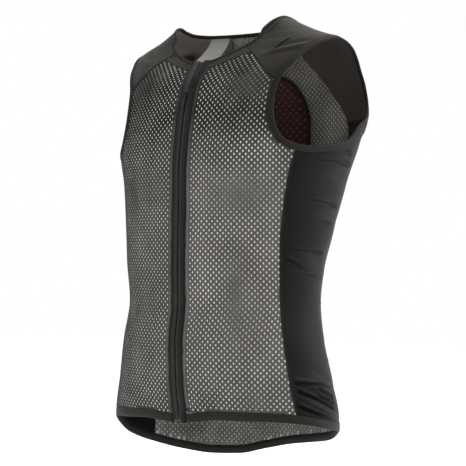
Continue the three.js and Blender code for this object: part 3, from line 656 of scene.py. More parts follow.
def crease_rise(places, rows, side):
    """How far sharp creases lift the cloth. A row is its two ends, half width and rise."""
    here = over_cloth(places)
    rise = np.zeros(places.shape[:-1])
    for turn, z, far_turn, far_z, width, amount in rows:
        ends = over_cloth(spots([side * turn, side * far_turn], [z, far_z]))
        course = ends[1] - ends[0]
        size = np.hypot(*course)
        step = here - ends[0]
        along = step @ course / size
        across = (step[..., 1] * course[0] - step[..., 0] * course[1]) / size * side
        over = np.maximum(np.maximum(-along, along - size), 0)
        taper = np.exp(-((over / (CREASE_TAPER * width)) ** 2))
        furrow = FURROW_SHARE * np.exp(-(((across - FURROW_PLACE * width) / width) ** 2))
        rise += amount * (np.exp(-((across / width) ** 2)) - furrow) * taper
    return rise


def tiled(name, base, faces, origins, frames):
    """Copies of one small modelled shape, each set into its own frame."""
    points = np.einsum("nj,mjk->mnk", base, frames) + origins[:, None]
    all_faces = [[i + len(base) * n for i in face] for n in range(len(origins)) for face in faces]
    piece = piece_from(name, points, all_faces)
    piece.data.uv_layers.new(name="cloth")
    face_outwards(piece)
    return piece


def taken(shape):
    """The corners and faces of a modelled shape, which is then removed."""
    base = corners_of(shape)
    faces = [tuple(face.vertices) for face in shape.data.polygons]
    bpy.data.objects.remove(shape)
    return base, faces


def along_edge(edge, pitch, lift):
    """Even points along an edge, with the direction, the side and the way out at each."""
    run = run_along(skin(edge, lift))
    count = max(int(run[-1] / pitch), 2)
    at = (np.arange(count) + 0.5) * run[-1] / count

    def place_at(distance):
        return np.stack([np.interp(distance, run, edge[:, k]) for k in (0, 1)], axis=-1)

    place = place_at(at)
    course = unit(skin(place_at(at + 0.2)) - skin(place_at(at - 0.2)))
    out = skin_normal(place[:, 0], place[:, 1])
    return skin(place, lift), np.stack([course, unit(np.cross(out, course)), out], axis=1)


# A stitch: how much of the pitch its half length takes, its half width and half height.
STITCH_FORM = (0.42, 0.28, 0.22)


def stitches(name, edges, lift, pitch=3.2):
    """Short threads set end to end along edges."""
    deselect()
    bpy.ops.mesh.primitive_uv_sphere_add(segments=6, ring_count=4, radius=1)
    set_mode("EDIT")
    bpy.ops.transform.rotate(value=np.pi / 2, orient_axis="Y", center_override=(0, 0, 0))
    bpy.ops.transform.resize(value=(pitch * STITCH_FORM[0], *STITCH_FORM[1:]))
    set_mode("OBJECT")
    base, faces = taken(bpy.context.object)
    found = [along_edge(edge, pitch, lift) for edge in edges]
    origins, frames = (np.concatenate(parts) for parts in zip(*found))
    return finished(tiled(name, base, faces, origins, frames), thread, "elastic_tape")


SEAM_WIDTH = 3.2
SEAM_FORM = [
    (0.0, -0.5), (0.12, 0.25), (0.35, 0.55), (0.5, 0.4), (0.65, 0.55), (0.88, 0.25), (1.0, -0.5),
    (0.5, -0.9),
]


def seam(name, edge):
    """A flat felled seam that lies over the joint of two panels."""
    low, high = shifted_edge(edge, -SEAM_WIDTH / 2), shifted_edge(edge, SEAM_WIDTH / 2)
    return finished(swept(name, low, high, SEAM_FORM), seam_cloth, "stretch_cloth")


# Where the pale layer lies close under the net it lightens both the net and its holes; the patches
# are also painted light and shade, where light falls on the net, shines through it or is shaded off.
# Soft patches: turn, z, reach round, reach up, change of the net, change of the holes.
PAINTED_LIGHT_PATCHES = [
    (28, -108, 30, 26, 0.26, -0.66), (32, -262, 44, 25, 0.26, -0.45), (34, -412, 16, 60, 0.14, -0.44),
    (45, -440, 16, 40, 0.06, -0.2), (18, -400, 12, 80, 0.08, 0.16), (-25, -95, 24, 24, 0.04, -0.42),
    (-22, -420, 18, 40, 0, -0.22), (15, -72, 40, 16, -0.05, -0.25), (-19, -255, 24, 22, 0.04, -0.25),
    (-36, -104, 34, 38, -0.08, -0.28), (30, -203, 26, 26, 0.1, 0.2), (26, -160, 34, 22, -0.04, -0.2),
    (50, -315, 16, 46, 0.14, 0.02), (-30, -310, 16, 50, 0.04, 0.12), (-36, -262, 26, 32, -0.16, -0.4),
    (-38, -420, 20, 150, -0.12, -0.12), (12, -345, 10, 90, 0.12, 0.1), (42, -206, 16, 24, 0.28, 0.1),
    (40, -560, 22, 16, 0.12, -0.3), (18, -560, 16, 20, -0.05, -0.1), (158, -90, 60, 62, 0.12, 0.12),
    (150, -154, 21, 36, 0.6, 0.9), (-162, -17, 40, 20, 0.4, 0.1), (-140, -632, 26, 26, -0.22, -0.2),
    (200, -420, 50, 60, 0.08, -0.2), (160, -330, 40, 50, -0.05, 0.15), (215, -250, 30, 60, 0.05, 0.1),
    (175, -560, 60, 40, 0.08, -0.1),
]
# A painted shadow on the wearer's right yoke lining, a dark red spot where its inside lies in shade:
# turn, z, reach round, reach up, change.
LINING_PAINTED_SHADOW = [(-130.5, -37, 20, 7.5, -1.1)]

# How light the net is in front, by height, darker towards the top, and the share of that on the
# wearer's right, a painted shade on the side turned away from the light.
NET_RAMP = np.array([
    (-700, 0.52), (-580, 0.55), (-520, 0.7), (-420, 0.78), (-260, 0.75), (-205, 0.47), (-140, 0.1),
    (0, 0.02),
])
RIGHT_NET_PAINTED_SHADE = 0.72
# The back net's share, and the holes' shares in front and behind; the back's holes are dimmer, a painted
# shade.
BACK_NET_LIGHT = 0.45
FRONT_HOLE_LIGHT = 0.55
BACK_HOLE_PAINTED_SHADE = 0.4


def with_painted_spots(places, share, spots_of_shade):
    """A share of light with soft painted spots of light and shade: turn, z, reach round, reach up,
    change.
    """
    turn, z = places[..., 0], places[..., 1]
    for at, height, reach, up, change in spots_of_shade:
        around = wrapped(turn - at) * REACH_OF_DEGREE
        share = share + change * np.exp(-((around / reach) ** 2) - ((z - height) / up) ** 2)
    return np.clip(share, 0, 1)


def painted_net_light(places, holes):
    """How light the net or its holes are at places, from 0 to 1: painted light and shade."""
    turn, z = wrapped(places[..., 0]), places[..., 1]
    behind = np.abs(turn) > 90
    if holes:
        share = np.where(behind, BACK_HOLE_PAINTED_SHADE, FRONT_HOLE_LIGHT)
    else:
        front = through(NET_RAMP, 1, z) * np.where(turn < 0, RIGHT_NET_PAINTED_SHADE, 1)
        share = np.where(behind, BACK_NET_LIGHT, front)
    return with_painted_spots(places, share, [(*row[:4], row[5 if holes else 4]) for row in PAINTED_LIGHT_PATCHES])


def set_values(piece, values):
    layer = piece.data.attributes.new("shade", "FLOAT", "POINT")
    layer.data.foreach_set("value", np.ravel(values).astype(np.float32))


# The net: a lattice of upright oval holes, every second column half a step higher.

HOLE_STEP = 8.6
HOLE_HALF_WIDTH = 1.25
HOLE_HALF_HEIGHT = 1.75
HOLE_CORNERS = 8
NET = 1.2

# A cell is kept when its hole's centre lies a half height and this much more inside the outline.
HOLE_MARGIN = 0.2

# A corner is on a hole up to this reach, squared, in half widths and half heights.
HOLE_REACH = 1.1


def net_cell(name):
    """One cell with its hole, flat at the origin, and the cell above and to its right."""
    deselect()
    bpy.ops.mesh.primitive_circle_add(vertices=HOLE_CORNERS, radius=1, fill_type="NOTHING")
    cell = just_made(name)
    set_mode("EDIT")
    bpy.ops.transform.resize(value=(HOLE_HALF_WIDTH, HOLE_HALF_HEIGHT, 1))
    bpy.ops.mesh.extrude_edges_move()
    bpy.ops.transform.resize(
        value=(HOLE_STEP / 4 / HOLE_HALF_WIDTH, HOLE_STEP / 2 / HOLE_HALF_HEIGHT, 1))
    set_mode("OBJECT")
    for vertex in cell.data.vertices:
        if vertex.index >= HOLE_CORNERS and min(abs(vertex.co.x), abs(vertex.co.y)) > 0.2:
            vertex.co.x *= 2**0.5
            vertex.co.y *= 2**0.5
    set_mode("EDIT")
    bpy.ops.mesh.select_all(action="SELECT")
    if cell.data.polygons[0].normal.z < 0:
        bpy.ops.mesh.flip_normals()
    bpy.ops.mesh.duplicate_move(TRANSFORM_OT_translate={"value": (HOLE_STEP / 2, HOLE_STEP / 2, 0)})
    set_mode("OBJECT")
    return cell


def nearest_on(outline, points):
    """The nearest point of a closed outline to each point, and how far inside the point lies."""
    start, course = outline[:-1], np.diff(outline, axis=0)
    best = np.full(len(points), np.inf)
    near = np.zeros_like(points)
    crossings = np.zeros(len(points), dtype=int)
    for a, d in zip(start, course):
        size = d @ d
        if size < 1e-12:
            continue
        share = np.clip(((points - a) @ d) / size, 0, 1)
        foot = a + share[:, None] * d
        gap = size_of(points - foot)
        closer = gap < best
        best[closer], near[closer] = gap[closer], foot[closer]
        above = (a[1] > points[:, 1]) != (a[1] + d[1] > points[:, 1])
        if above.any():
            at = a[0] + d[0] * (points[:, 1] - a[1]) / (d[1] if d[1] else 1e-12)
            crossings += above & (points[:, 0] < at)
    return near, np.where(crossings % 2 == 1, best, -best)


def hole_centres(flat):
    """The centre of the hole in whose cell each place of the flat lattice lies."""
    column = np.round(flat[:, 0] / (HOLE_STEP / 2))
    odd = (column % 2) * HOLE_STEP / 2
    up = np.round((flat[:, 1] - odd) / HOLE_STEP) * HOLE_STEP + odd
    return np.stack([column * HOLE_STEP / 2, up], axis=1)


def net(name, outline, centre=0.0, keep=0):
    """A net that fills an outline of places. keep says which side of the centre line to fill."""
    edge = over_cloth(outline, centre)
    cut = -HOLE_STEP / 4
    low, high = edge.min(axis=0) - HOLE_STEP, edge.max(axis=0) + HOLE_STEP
    if keep:
        (low if keep > 0 else high)[0] = cut
    first = np.floor(low / HOLE_STEP)
    counts = np.ceil(high / HOLE_STEP) - first + 1
    piece = net_cell(name)
    for axis in (0, 1):
        offset = [0, 0, 0]
        offset[axis] = HOLE_STEP
        apply_modifier(
            piece, "ARRAY", count=int(counts[axis]), use_relative_offset=False,
            use_constant_offset=True, constant_offset_displace=offset,
        )
    work = bmesh.new()
    work.from_mesh(piece.data)
    bmesh.ops.remove_doubles(work, verts=work.verts, dist=0.05)
    shift = first * HOLE_STEP
    faces = list(work.faces)
    centres = hole_centres(np.array([face.calc_center_median()[:2] for face in faces]) + shift)
    unique, index = np.unique(np.round(centres, 3), axis=0, return_inverse=True)
    inside = nearest_on(edge, unique)[1] > HOLE_HALF_HEIGHT + HOLE_MARGIN
    if keep:
        inside &= keep * unique[:, 0] > (-0.1 if keep > 0 else 0.1)
    outside_faces = [face for face, i in zip(faces, index.reshape(-1)) if not inside[i]]
    bmesh.ops.delete(work, geom=outside_faces, context="FACES")
    work.to_mesh(piece.data)
    work.free()
    flat = corners_of(piece)[:, :2] + shift
    hole = on_hole(flat)
    near, depth = nearest_on(edge, flat[~hole])
    pull = border_vertices(piece.data) & ~hole
    pull[~hole] |= depth < 0
    if keep:
        pull &= np.abs(flat[:, 0] - cut) > 0.1
    target = flat.copy()
    target[~hole] = near
    flat[pull] = target[pull]
    places = from_cloth(flat, centre)
    set_corners(piece, skin(places))
    set_lengths(piece, flat)
    # The net's painted light and shade.
    set_values(piece, painted_net_light(places, False))
    walled(piece, NET)
    return piece


def on_hole(flat):
    """Which corners of the lattice lie on a hole."""
    offset = (flat - hole_centres(flat)) / (HOLE_HALF_WIDTH, HOLE_HALF_HEIGHT)
    return (offset**2).sum(axis=1) < HOLE_REACH


def border_vertices(mesh):
    """Which corners lie on an edge that only one face uses."""
    edge_of_corner = listed(mesh.loops, "edge_index", 1, np.int64)[:, 0]
    uses = np.bincount(edge_of_corner, minlength=len(mesh.edges))
    border = np.zeros(len(mesh.vertices), dtype=bool)
    border[listed(mesh.edges, "vertices", 2, np.int64)[uses == 1].ravel()] = True
    return border


# Finishes. Patterns follow the cloth's own lengths, in metres.

def shader_of(material):
    return material.node_tree.nodes["Principled BSDF"]


def finish(name, colour, roughness, specular, sheen=0.0, metallic=0.0):
    """A new material with its shader, ready for a pattern."""
    material = bpy.data.materials.new(name)
    material.use_nodes = True
    shader = shader_of(material)
    shader.inputs["Base Color"].default_value = (*colour, 1)
    shader.inputs["Roughness"].default_value = roughness
    shader.inputs["Metallic"].default_value = metallic
    shader.inputs["Specular IOR Level"].default_value = specular
    if sheen:
        shader.inputs["Sheen Weight"].default_value = sheen
        shader.inputs["Sheen Roughness"].default_value = 0.45
        shader.inputs["Sheen Tint"].default_value = (0.8, 0.78, 0.75, 1)
    return material


def link(material, start, end):
    material.node_tree.links.new(start, end)


def node(material, kind, **settings):
    """A new node. A setting is a value, or the socket that feeds the input of that name."""
    made = material.node_tree.nodes.new(kind)
    for key, value in settings.items():
        if isinstance(value, bpy.types.NodeSocket):
            link(material, value, made.inputs[key])
        elif key in made.inputs:
            made.inputs[key].default_value = value
        else:
            setattr(made, key, value)
    return made


def lined(piece, material):
    """Gives the inner face of a cloth its own finish."""
    piece.data.materials.append(material)
    count = outer_faces[piece.name]
    for face in piece.data.polygons[count:2 * count]:
        face.material_index = 1


def stepped(material, value, low, high, **settings):
    """A value spread so that low becomes 0 and high becomes 1."""
    ends = {"From Min": low, "From Max": high}
    return node(material, "ShaderNodeMapRange", Value=value, **ends, **settings).outputs["Result"]


def blotches(material, scale, detail=2, low=0.3, high=0.7):
    """A soft patchiness from 0 to 1 in the object's own space."""
    where = node(material, "ShaderNodeTexCoord").outputs["Object"]
    noise = node(
        material, "ShaderNodeTexNoise", Scale=scale, Detail=detail, Roughness=0.55, Vector=where)
    return stepped(material, noise.outputs["Fac"], low, high)


def maths(material, operation, first, second):
    """One sum on two sockets or numbers."""
    made = node(material, "ShaderNodeMath", operation=operation)
    for socket, value in zip(made.inputs, (first, second)):
        if isinstance(value, (int, float)):
            socket.default_value = value
        else:
            link(material, value, socket)
    return made.outputs["Value"]


# The wave texture's scale for one wave in one pattern unit.
ONE_WAVE = 0.314159


def ribs(material, spacing, direction):
    """Even ridges in the cloth, that many metres apart."""
    lengths = node(material, "ShaderNodeUVMap", uv_map="cloth").outputs["UV"]
    scale = (1 / spacing, 1 / spacing, 1)
    units = node(material, "ShaderNodeMapping", Scale=scale, Vector=lengths).outputs["Vector"]
    wave = node(
        material, "ShaderNodeTexWave", wave_type="BANDS", bands_direction=direction,
        wave_profile="SIN", Scale=ONE_WAVE, Distortion=0.0, Vector=units,
    )
    return wave.outputs["Fac"]


def weave(material, spacing):
    return maths(material, "MULTIPLY", ribs(material, spacing, "X"), ribs(material, spacing, "Y"))


def shade_between(material, share, dark, light):
    """Colours the shader from dark to light along a pattern."""
    mix = node(material, "ShaderNodeMix", data_type="RGBA", Factor=share)
    ends = [socket for socket in mix.inputs if socket.name in ("A", "B") and socket.type == "RGBA"]
    for socket, colour in zip(ends, (dark, light)):
        socket.default_value = (*colour, 1)
    result = next(socket for socket in mix.outputs if socket.type == "RGBA")
    link(material, result, shader_of(material).inputs["Base Color"])


def raise_by(material, height, distance):
    bump = node(material, "ShaderNodeBump", Strength=1.0, Distance=distance, Height=height)
    link(material, bump.outputs["Normal"], shader_of(material).inputs["Normal"])


# How far a weave stands out at full height, in metres.
WEAVE_DEPTH = 0.00012
SHADED_WEAVE_DEPTH = 0.0001


def woven(name, dark, light, spacing, roughness, sheen, specular):
    """A fine woven or knitted cloth with a slightly uneven shade."""
    material = finish(name, light, roughness, specular, sheen)
    grain = blotches(material, 900)
    patches = blotches(material, 14, 3, 0.35, 0.65)
    shade = maths(material, "ADD", maths(material, "MULTIPLY", patches, 0.5),
                  maths(material, "MULTIPLY", grain, 0.5))
    shade_between(material, shade, dark, light)
    height = maths(material, "ADD", weave(material, spacing), maths(material, "MULTIPLY", grain, 0.6))
    raise_by(material, height, WEAVE_DEPTH)
    return material


def shaded(name, dark, light, spacing, roughness, specular, grain_share=0.25):
    """A cloth whose lightness follows its shade attribute, with a little grain."""
    material = finish(name, light, roughness, specular)
    shade = node(material, "ShaderNodeAttribute", attribute_name="shade")
    grain = maths(material, "ADD", blotches(material, 700), blotches(material, 30, 3))
    uneven = maths(material, "MULTIPLY", grain, grain_share)
    change = maths(material, "SUBTRACT", uneven, grain_share)
    share = maths(material, "ADD", shade.outputs["Fac"], change)
    shade_between(material, maths(material, "MAXIMUM", share, 0.0), dark, light)
    if spacing:
        raise_by(material, weave(material, spacing), SHADED_WEAVE_DEPTH)
    return material


# Woven cloths: darkest and lightest colour, thread spacing, roughness, sheen and gloss.
stretch = woven(
    "stretch cloth", (0.0024, 0.0023, 0.0021), (0.0043, 0.0041, 0.0038), 0.0007, 0.44, 0.02, 0.06)
yoke_cloth = woven(
    "yoke cloth", (0.0105, 0.0092, 0.0076), (0.0175, 0.0155, 0.0129), 0.0007, 0.5, 0.03, 0.06)
seam_cloth = woven(
    "seam cloth", (0.004, 0.004, 0.0038), (0.007, 0.0068, 0.0064), 0.0007, 0.6, 0.0, 0.08)
hem_cloth = woven(
    "hem cloth", (0.0062, 0.0058, 0.0052), (0.0103, 0.0097, 0.0088), 0.0009, 0.6, 0.03, 0.1)
elastic = woven(
    "elastic tape", (0.0092, 0.0083, 0.0071), (0.0156, 0.014, 0.012), 0.0011, 0.65, 0.01, 0.05)
thread = woven("thread", (0.008, 0.008, 0.008), (0.016, 0.016, 0.0155), 0.0005, 0.6, 0.0, 0.15)
pale_thread = woven("pale thread", (0.18, 0.17, 0.16), (0.3, 0.29, 0.27), 0.0005, 0.7, 0.0, 0.15)
label_cloth = woven(
    "label cloth", (0.115, 0.115, 0.103), (0.235, 0.235, 0.213), 0.0006, 0.8, 0.0, 0.15)

# Cloths shaded point by point: colours, thread spacing, roughness, gloss and share of grain.
# The inside of the side cloth, lighter than its outside, darkened downwards with painted shade.
stretch_inside_painted_shade = shaded(
    "stretch cloth inside", (0.0012, 0.0012, 0.0011), (0.0145, 0.0138, 0.0124), 0.0007, 0.65, 0.05, 0.05)
# The yoke lining: lightened with painted light, with a dark red end for its painted shadow.
yoke_back = shaded(
    "yoke lining", (0.009, 0.0035, 0.0035), (0.17, 0.155, 0.139), 0.0013, 0.7, 0.08, 0.05)
net_cloth = shaded("net cloth", (0.0075, 0.0072, 0.0062), (0.078, 0.0755, 0.069), 0.0006, 0.75, 0.08)
# The inside of the back net: a lighter copy of the net cloth, painted light.
back_net_inside_painted_light = shaded("back net inside in painted light", (0.0075, 0.0072, 0.0064), (0.17, 0.163, 0.148), 0.0006, 0.75, 0.08)
# The zip facing's lightness follows the net's painted light and shade.
facing_cloth = shaded("facing cloth", (0.022, 0.0213, 0.019), (0.115, 0.112, 0.104), 0.0006, 0.75, 0.08)
pale_core = shaded("pale core", (0.1, 0.098, 0.088), (0.72, 0.7, 0.645), 0, 0.9, 0.1, 0.15)
# The pale layer behind the back: a darker copy of the pale core, painted shade.
back_core = shaded("pale core in painted shade", (0.05, 0.049, 0.044), (0.6, 0.585, 0.54), 0, 0.9, 0.1, 0.15)
zip_cloth = shaded(
    "zip tape", (0.0016, 0.0016, 0.0017), (0.0175, 0.0172, 0.0168), 0.0009, 0.55, 0.1, 0.1)

zip_plastic = finish("zip plastic", (0.006, 0.006, 0.0062), 0.32, 0.2)
raise_by(zip_plastic, blotches(zip_plastic, 1500), 0.00003)
slider_metal = finish("painted slider", (0.006, 0.006, 0.0065), 0.35, 0.25, metallic=0.2)
raise_by(slider_metal, blotches(slider_metal, 900), 0.00002)


def dotted(name, ground, dots, step):
    """A perforated lining: staggered sunken dots, a step apart both ways."""
    material = finish(name, ground, 0.8, 0.1, 0.05)
    centred = [
        maths(material, "MULTIPLY", maths(material, "SUBTRACT", ribs(material, step, way), 0.5), 2.0)
        for way in ("X", "Y")
    ]
    lattice = maths(material, "MULTIPLY", *centred)
    dot_share = stepped(material, lattice, 0.45, 0.75, interpolation_type="SMOOTHSTEP")
    shade_between(material, dot_share, ground, dots)
    raise_by(material, maths(material, "SUBTRACT", 1.0, dot_share), 0.0006)
    return material


lining = dotted("lining", (0.031, 0.0115, 0.012), (0.082, 0.039, 0.037), 0.0125)


# The vest.

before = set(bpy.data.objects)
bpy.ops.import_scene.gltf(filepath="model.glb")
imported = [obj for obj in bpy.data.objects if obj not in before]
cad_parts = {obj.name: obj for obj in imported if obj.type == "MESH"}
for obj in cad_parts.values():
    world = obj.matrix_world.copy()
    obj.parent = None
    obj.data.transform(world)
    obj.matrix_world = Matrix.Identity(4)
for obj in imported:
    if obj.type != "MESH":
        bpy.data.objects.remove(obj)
solid_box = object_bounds()
deselect()

left, right = side_edges(1), side_edges(-1)
SIDES = ((1, "left", left), (-1, "right", right))


def on_side(side, places):
    """A grid of the left side, or its mirror image with the columns still from left to right."""
    return places if side > 0 else mirrored(places)[:, ::-1]


def flat_size(places):
    """Width, length and area of the cut cloth, in metres."""
    points = skin(places) * MM
    across = points[:-1, 1:] - points[1:, :-1]
    up = points[1:, 1:] - points[:-1, :-1]
    area = float(size_of(np.cross(across, up)).sum() / 2)
    width = size_of(np.diff(points, axis=1)).sum(axis=1).max()
    length = size_of(np.diff(points, axis=0)).sum(axis=0).max()
    return (float(width), float(length)), area


worn = {}


def hang(piece, places, *trims):
    """Notes a cloth with the pieces sewn to it."""
    worn[piece.name] = (piece, places, list(trims))


def sewn_to(cloth_name, piece):
    worn[cloth_name][2].append(piece)


def front_places(edges):
    outside = joined(edges["front_seam"], arm_front_seam[::-1])
    share = (outside[:, 1] - outside[0, 1]) / (outside[-1, 1] - outside[0, 1])
    foot, top = edges["zip_side"][0, 1], edges["zip_side"][-1, 1]
    inside = beside_zip(foot + (top - foot) * share**1.3)
    return filled(edges["hem_seam"][0], joined(front_neck_seam, yoke_front_seam), inside, outside)


def side_places(edges):
    top = joined(arm_under_seam, yoke_side_seam[::-1])
    return filled(edges["hem_seam"][1], top, edges["front_seam"], edges["back_seam"])


def yoke_places():
    outside = joined(arm_over_seam[::-1], yoke_side_seam[::-1])
    return filled(yoke_front_seam, yoke_back_seam, yoke_neck_seam, outside)


def back_places():
    return filled(
        across_back(left["hem_seam"][2], right["hem_seam"][2]),
        across_back(back_neck_seam, back_neck_seam),
        joined(left["back_seam"], yoke_back_seam[::-1]),
        beyond_back(joined(right["back_seam"], yoke_back_seam[::-1])),
    )


# The inner layer stops this share of a cell short of each edge.
CORE_INSET = 0.04


def core(name, places, material):
    """The pale inner layer that shows through the holes."""
    inset = places.copy()
    for axis in (0, 1):
        lines = np.moveaxis(inset, axis, 0)
        lines[0] += (lines[1] - lines[0]) * CORE_INSET
        lines[-1] += (lines[-2] - lines[-1]) * CORE_INSET
    # The holes take their painted light and shade.
    piece = cloth(name, inset, lift=-NET * 0.3, thickness=NET * 0.4, shade=painted_net_light(inset, True))
    return finished(piece, material, "open_mesh")


# Sharp creases on the wearer's left, between two ends: turn, z, turn, z, half width, rise.
SIDE_CREASES = [
    (73, -217, 104.5, -221, 1.56, -1.44), (73.5, -273, 100.5, -281, 1.32, -1.36),
    (84, -304, 100, -306, 1.2, -0.77), (68.5, -343, 95.5, -349, 1.32, -1.44),
    (62.5, -355, 72, -364, 1.56, -1.53), (66, -366, 78, -371, 1.8, -0.94),
    (78, -379, 100.5, -383, 1.44, -0.77), (66.5, -530, 97, -537, 2.12, -2.75),
    (68, -543, 97, -568, 1.53, -3.5), (83, -541, 96, -553, 1.3, -3),
    (83, -551, 97, -560, 1.3, -2.75), (65.5, -563, 95, -589, 1.53, -3.25),
    (64, -574, 84, -591, 1.42, -2.25), (72, -190, 100, -206, 1.44, -1.27),
    (66, -192, 92, -196, 1.8, -0.85), (96, -183, 111.5, -151, 1.92, -1.36),
    (118, -170, 126, -135, 1.8, 1.02), (104, -420, 114, -424, 1.8, -1.02),
    (106, -500, 115, -510, 1.8, -1.19),
]
YOKE_CREASES = [
    (36, -26, 62, -9, 1.3, -0.8), (33, -57, 41, -41, 1.5, -1.3), (36, -58, 52, -50, 5.5, 2.2),
    (43.5, -85, 47, -69, 1.6, -1.2), (122, -33, 142, -43, 1.8, 1),
]


# What the rise of the creases is multiplied by on the wearer's left and right.
LEFT_CREASES = 1.4
RIGHT_CREASES = 0.5


def creased(name, side, places, rows, shade, reach):
    """A plain cloth with creases that die out before its seams, softer on the wearer's right."""
    strength = LEFT_CREASES if side > 0 else RIGHT_CREASES
    push = strength * crease_rise(places, rows, side) * held_edges(places, reach)
    return cloth(name, places, lift=push, shade=shade)


NECK_FACING_WIDTH = 13
ZIP_FACING_WIDTH = 4.5
FACING = 0.6


def neck_facing():
    """The strip of yoke cloth under the front of the neckline, from the zip to the yoke's seam."""
    below = shifted_edge(front_neck_seam, -NECK_FACING_WIDTH)
    corner = yoke_front_seam[np.argmin(np.abs(yoke_front_seam[:, 1] - below[-1, 1]))]
    return band(edge_between(below, beside_zip(below[0, 1]), corner), front_neck_seam, 8)


def zip_facing(edges):
    """The narrow strip along the zip, from the hem band to the neck tape."""
    height = np.linspace(edges["hem_seam"][0][0, 1], neck_seam_foot, 150)
    outer = beside_zip(height, ZIP_BAND_HALF_WIDTH + ZIP_FACING_WIDTH)
    return band(beside_zip(height), outer, 4).transpose(1, 0, 2)


def sew_front(side, word, edges):
    places = on_side(side, front_places(edges))
    front = net(f"front_net_{word}", rim_of(places))
    finished(front, net_cloth, "open_mesh", f"front_panel_{word}")
    inner = core(f"front_core_{word}", places, pale_core)
    piece = cloth(f"neck_facing_{word}", on_side(side, neck_facing()), lift=0.35, thickness=FACING)
    by_neck = finished(piece, yoke_cloth, "open_mesh")
    facing = on_side(side, zip_facing(edges))
    # The zip facing takes the net's painted light and shade.
    light = painted_net_light(facing, False)
    piece = cloth(f"zip_facing_{word}", facing, lift=0.3, thickness=FACING, shade=light)
    by_zip = finished(piece, facing_cloth, "open_mesh")
    body = seam(f"front_seam_{word}", to_side(side, edges["front_seam"]))
    yoke = seam(f"yoke_seam_{word}", to_side(side, yoke_front_seam))
    hang(front, places, inner, by_neck, by_zip, body, yoke)


# Painted shade: the inside of the side cloth darkens downwards, from the second of these heights to the
# first.
SIDE_PAINTED_SHADE = (-420, -200)


def sew_side(side, word, edges):
    places = on_side(side, side_places(edges))
    if side > 0:
        places = finer(places, down=3, across=2)
    # Painted shade: darker inside towards the bottom.
    shade = np.clip((places[..., 1] - SIDE_PAINTED_SHADE[0]) / np.diff(SIDE_PAINTED_SHADE), 0, 1)
    piece = creased(f"side_cloth_{word}", side, places, SIDE_CREASES, shade, 9)
    finished(piece, stretch, "stretch_cloth", f"side_panel_{word}")
    lined(piece, stretch_inside_painted_shade)
    hang(piece, places, seam(f"side_seam_{word}", to_side(side, edges["back_seam"])))


# How light the yokes' linings are: a painted light, stronger on the wearer's right.
LEFT_LINING_PAINTED_LIGHT = 0.22
RIGHT_LINING_PAINTED_LIGHT = 0.66


def sew_yoke(side, word):
    places = on_side(side, yoke_places())
    if side > 0:
        places = finer(places, down=2, across=2)
    # Painted light on the lining, and a painted shadow spot on the wearer's right.
    shade = with_painted_spots(places, LEFT_LINING_PAINTED_LIGHT if side > 0 else RIGHT_LINING_PAINTED_LIGHT, LINING_PAINTED_SHADOW)
    piece = creased(f"yoke_cloth_{word}", side, places, YOKE_CREASES, shade, 6)
    finished(piece, yoke_cloth, "stretch_cloth", f"shoulder_yoke_{word}")
    lined(piece, yoke_back)
    back = seam(f"yoke_back_seam_{word}", to_side(side, yoke_back_seam))
    hang(piece, places, back, seam(f"yoke_side_seam_{word}", to_side(side, yoke_side_seam)))


for side, word, edges in SIDES:
    sew_front(side, word, edges)
    sew_side(side, word, edges)
    sew_yoke(side, word)

places = back_places()
inner = core("back_core", places, back_core)
for side, word, edges in SIDES:
    piece = net(f"back_net_{word}", rim_of(places), 180.0, -side)
    finished(piece, net_cloth, "open_mesh", "back_panel")
    # Its inside is lighter, a painted light.
    lined(piece, back_net_inside_painted_light)
    half = places[:, :NECK_BACK + 1] if side > 0 else places[:, NECK_BACK:]
    hang(piece, half, *([inner] if side > 0 else []))

ROUND_TAPE = [
    (0.0, -0.8), (0.01, 0.1), (0.1, 0.4), (0.25, 0.8), (0.5, 1.15), (0.75, 1.2), (0.92, 1.0),
    (0.98, 0.4), (1.0, -0.8), (0.97, -2.0), (0.5, -2.4), (0.03, -2.0),
]
for side, word, edges in SIDES:
    low, high = to_side(side, armhole_seam), to_side(side, armhole_edge)
    piece = swept(f"arm_tape_{word}", low, high, ROUND_TAPE, closed=True)
    sewn_to(f"yoke_cloth_{word}", finished(piece, elastic, "elastic_tape", f"armhole_tape_{word}"))

neck_low, neck_high = across_back(neck_seam, neck_seam), across_back(neck_left, neck_left)
piece = swept("neck_binding", neck_low, neck_high, ROUND_TAPE)
sewn_to("yoke_cloth_left", finished(piece, elastic, "elastic_tape", "neck_tape"))

HEM_FORM = [
    (0.0, -1.0), (0.03, 0.5), (0.12, 0.9), (0.5, 1.0), (0.74, 0.8), (0.8, 0.4), (0.86, 0.8),
    (0.97, 0.7), (1.0, -0.6), (0.97, -1.6), (0.5, -1.7), (0.05, -1.7),
]


def whole_edge(name):
    return across_back(joined(*left[name]), joined(*right[name]))


hem_low, hem_high = whole_edge("hem"), whole_edge("hem_seam")
piece = swept("hem_tape", hem_low, hem_high, HEM_FORM)
sewn_to("side_cloth_left", finished(piece, hem_cloth, "hem_cloth", "hem_band"))

# The zip.

zip_foot = float(hem_height(0.0))
zip_closed = -FRONT_NECK_DROP - ZIP_OPEN_LENGTH
zip_head = float(neck_height(zip_top))
ZIP_CELLS = 300
ZIP_WAVE = 0.7


def zip_line(x, low, high, cells, wave=0.0):
    """A line beside the zip, x left of the middle, which waves a little in the lower half."""
    z = np.linspace(low, high, cells + 1)
    waves = np.sin(z / 6.1) + 0.7 * np.sin(z / 3.7 + 1) * np.sin(z / 41)
    return beside_zip(z, x + wave * waves * np.clip((-z - 230) / 120, 0.2, 1))


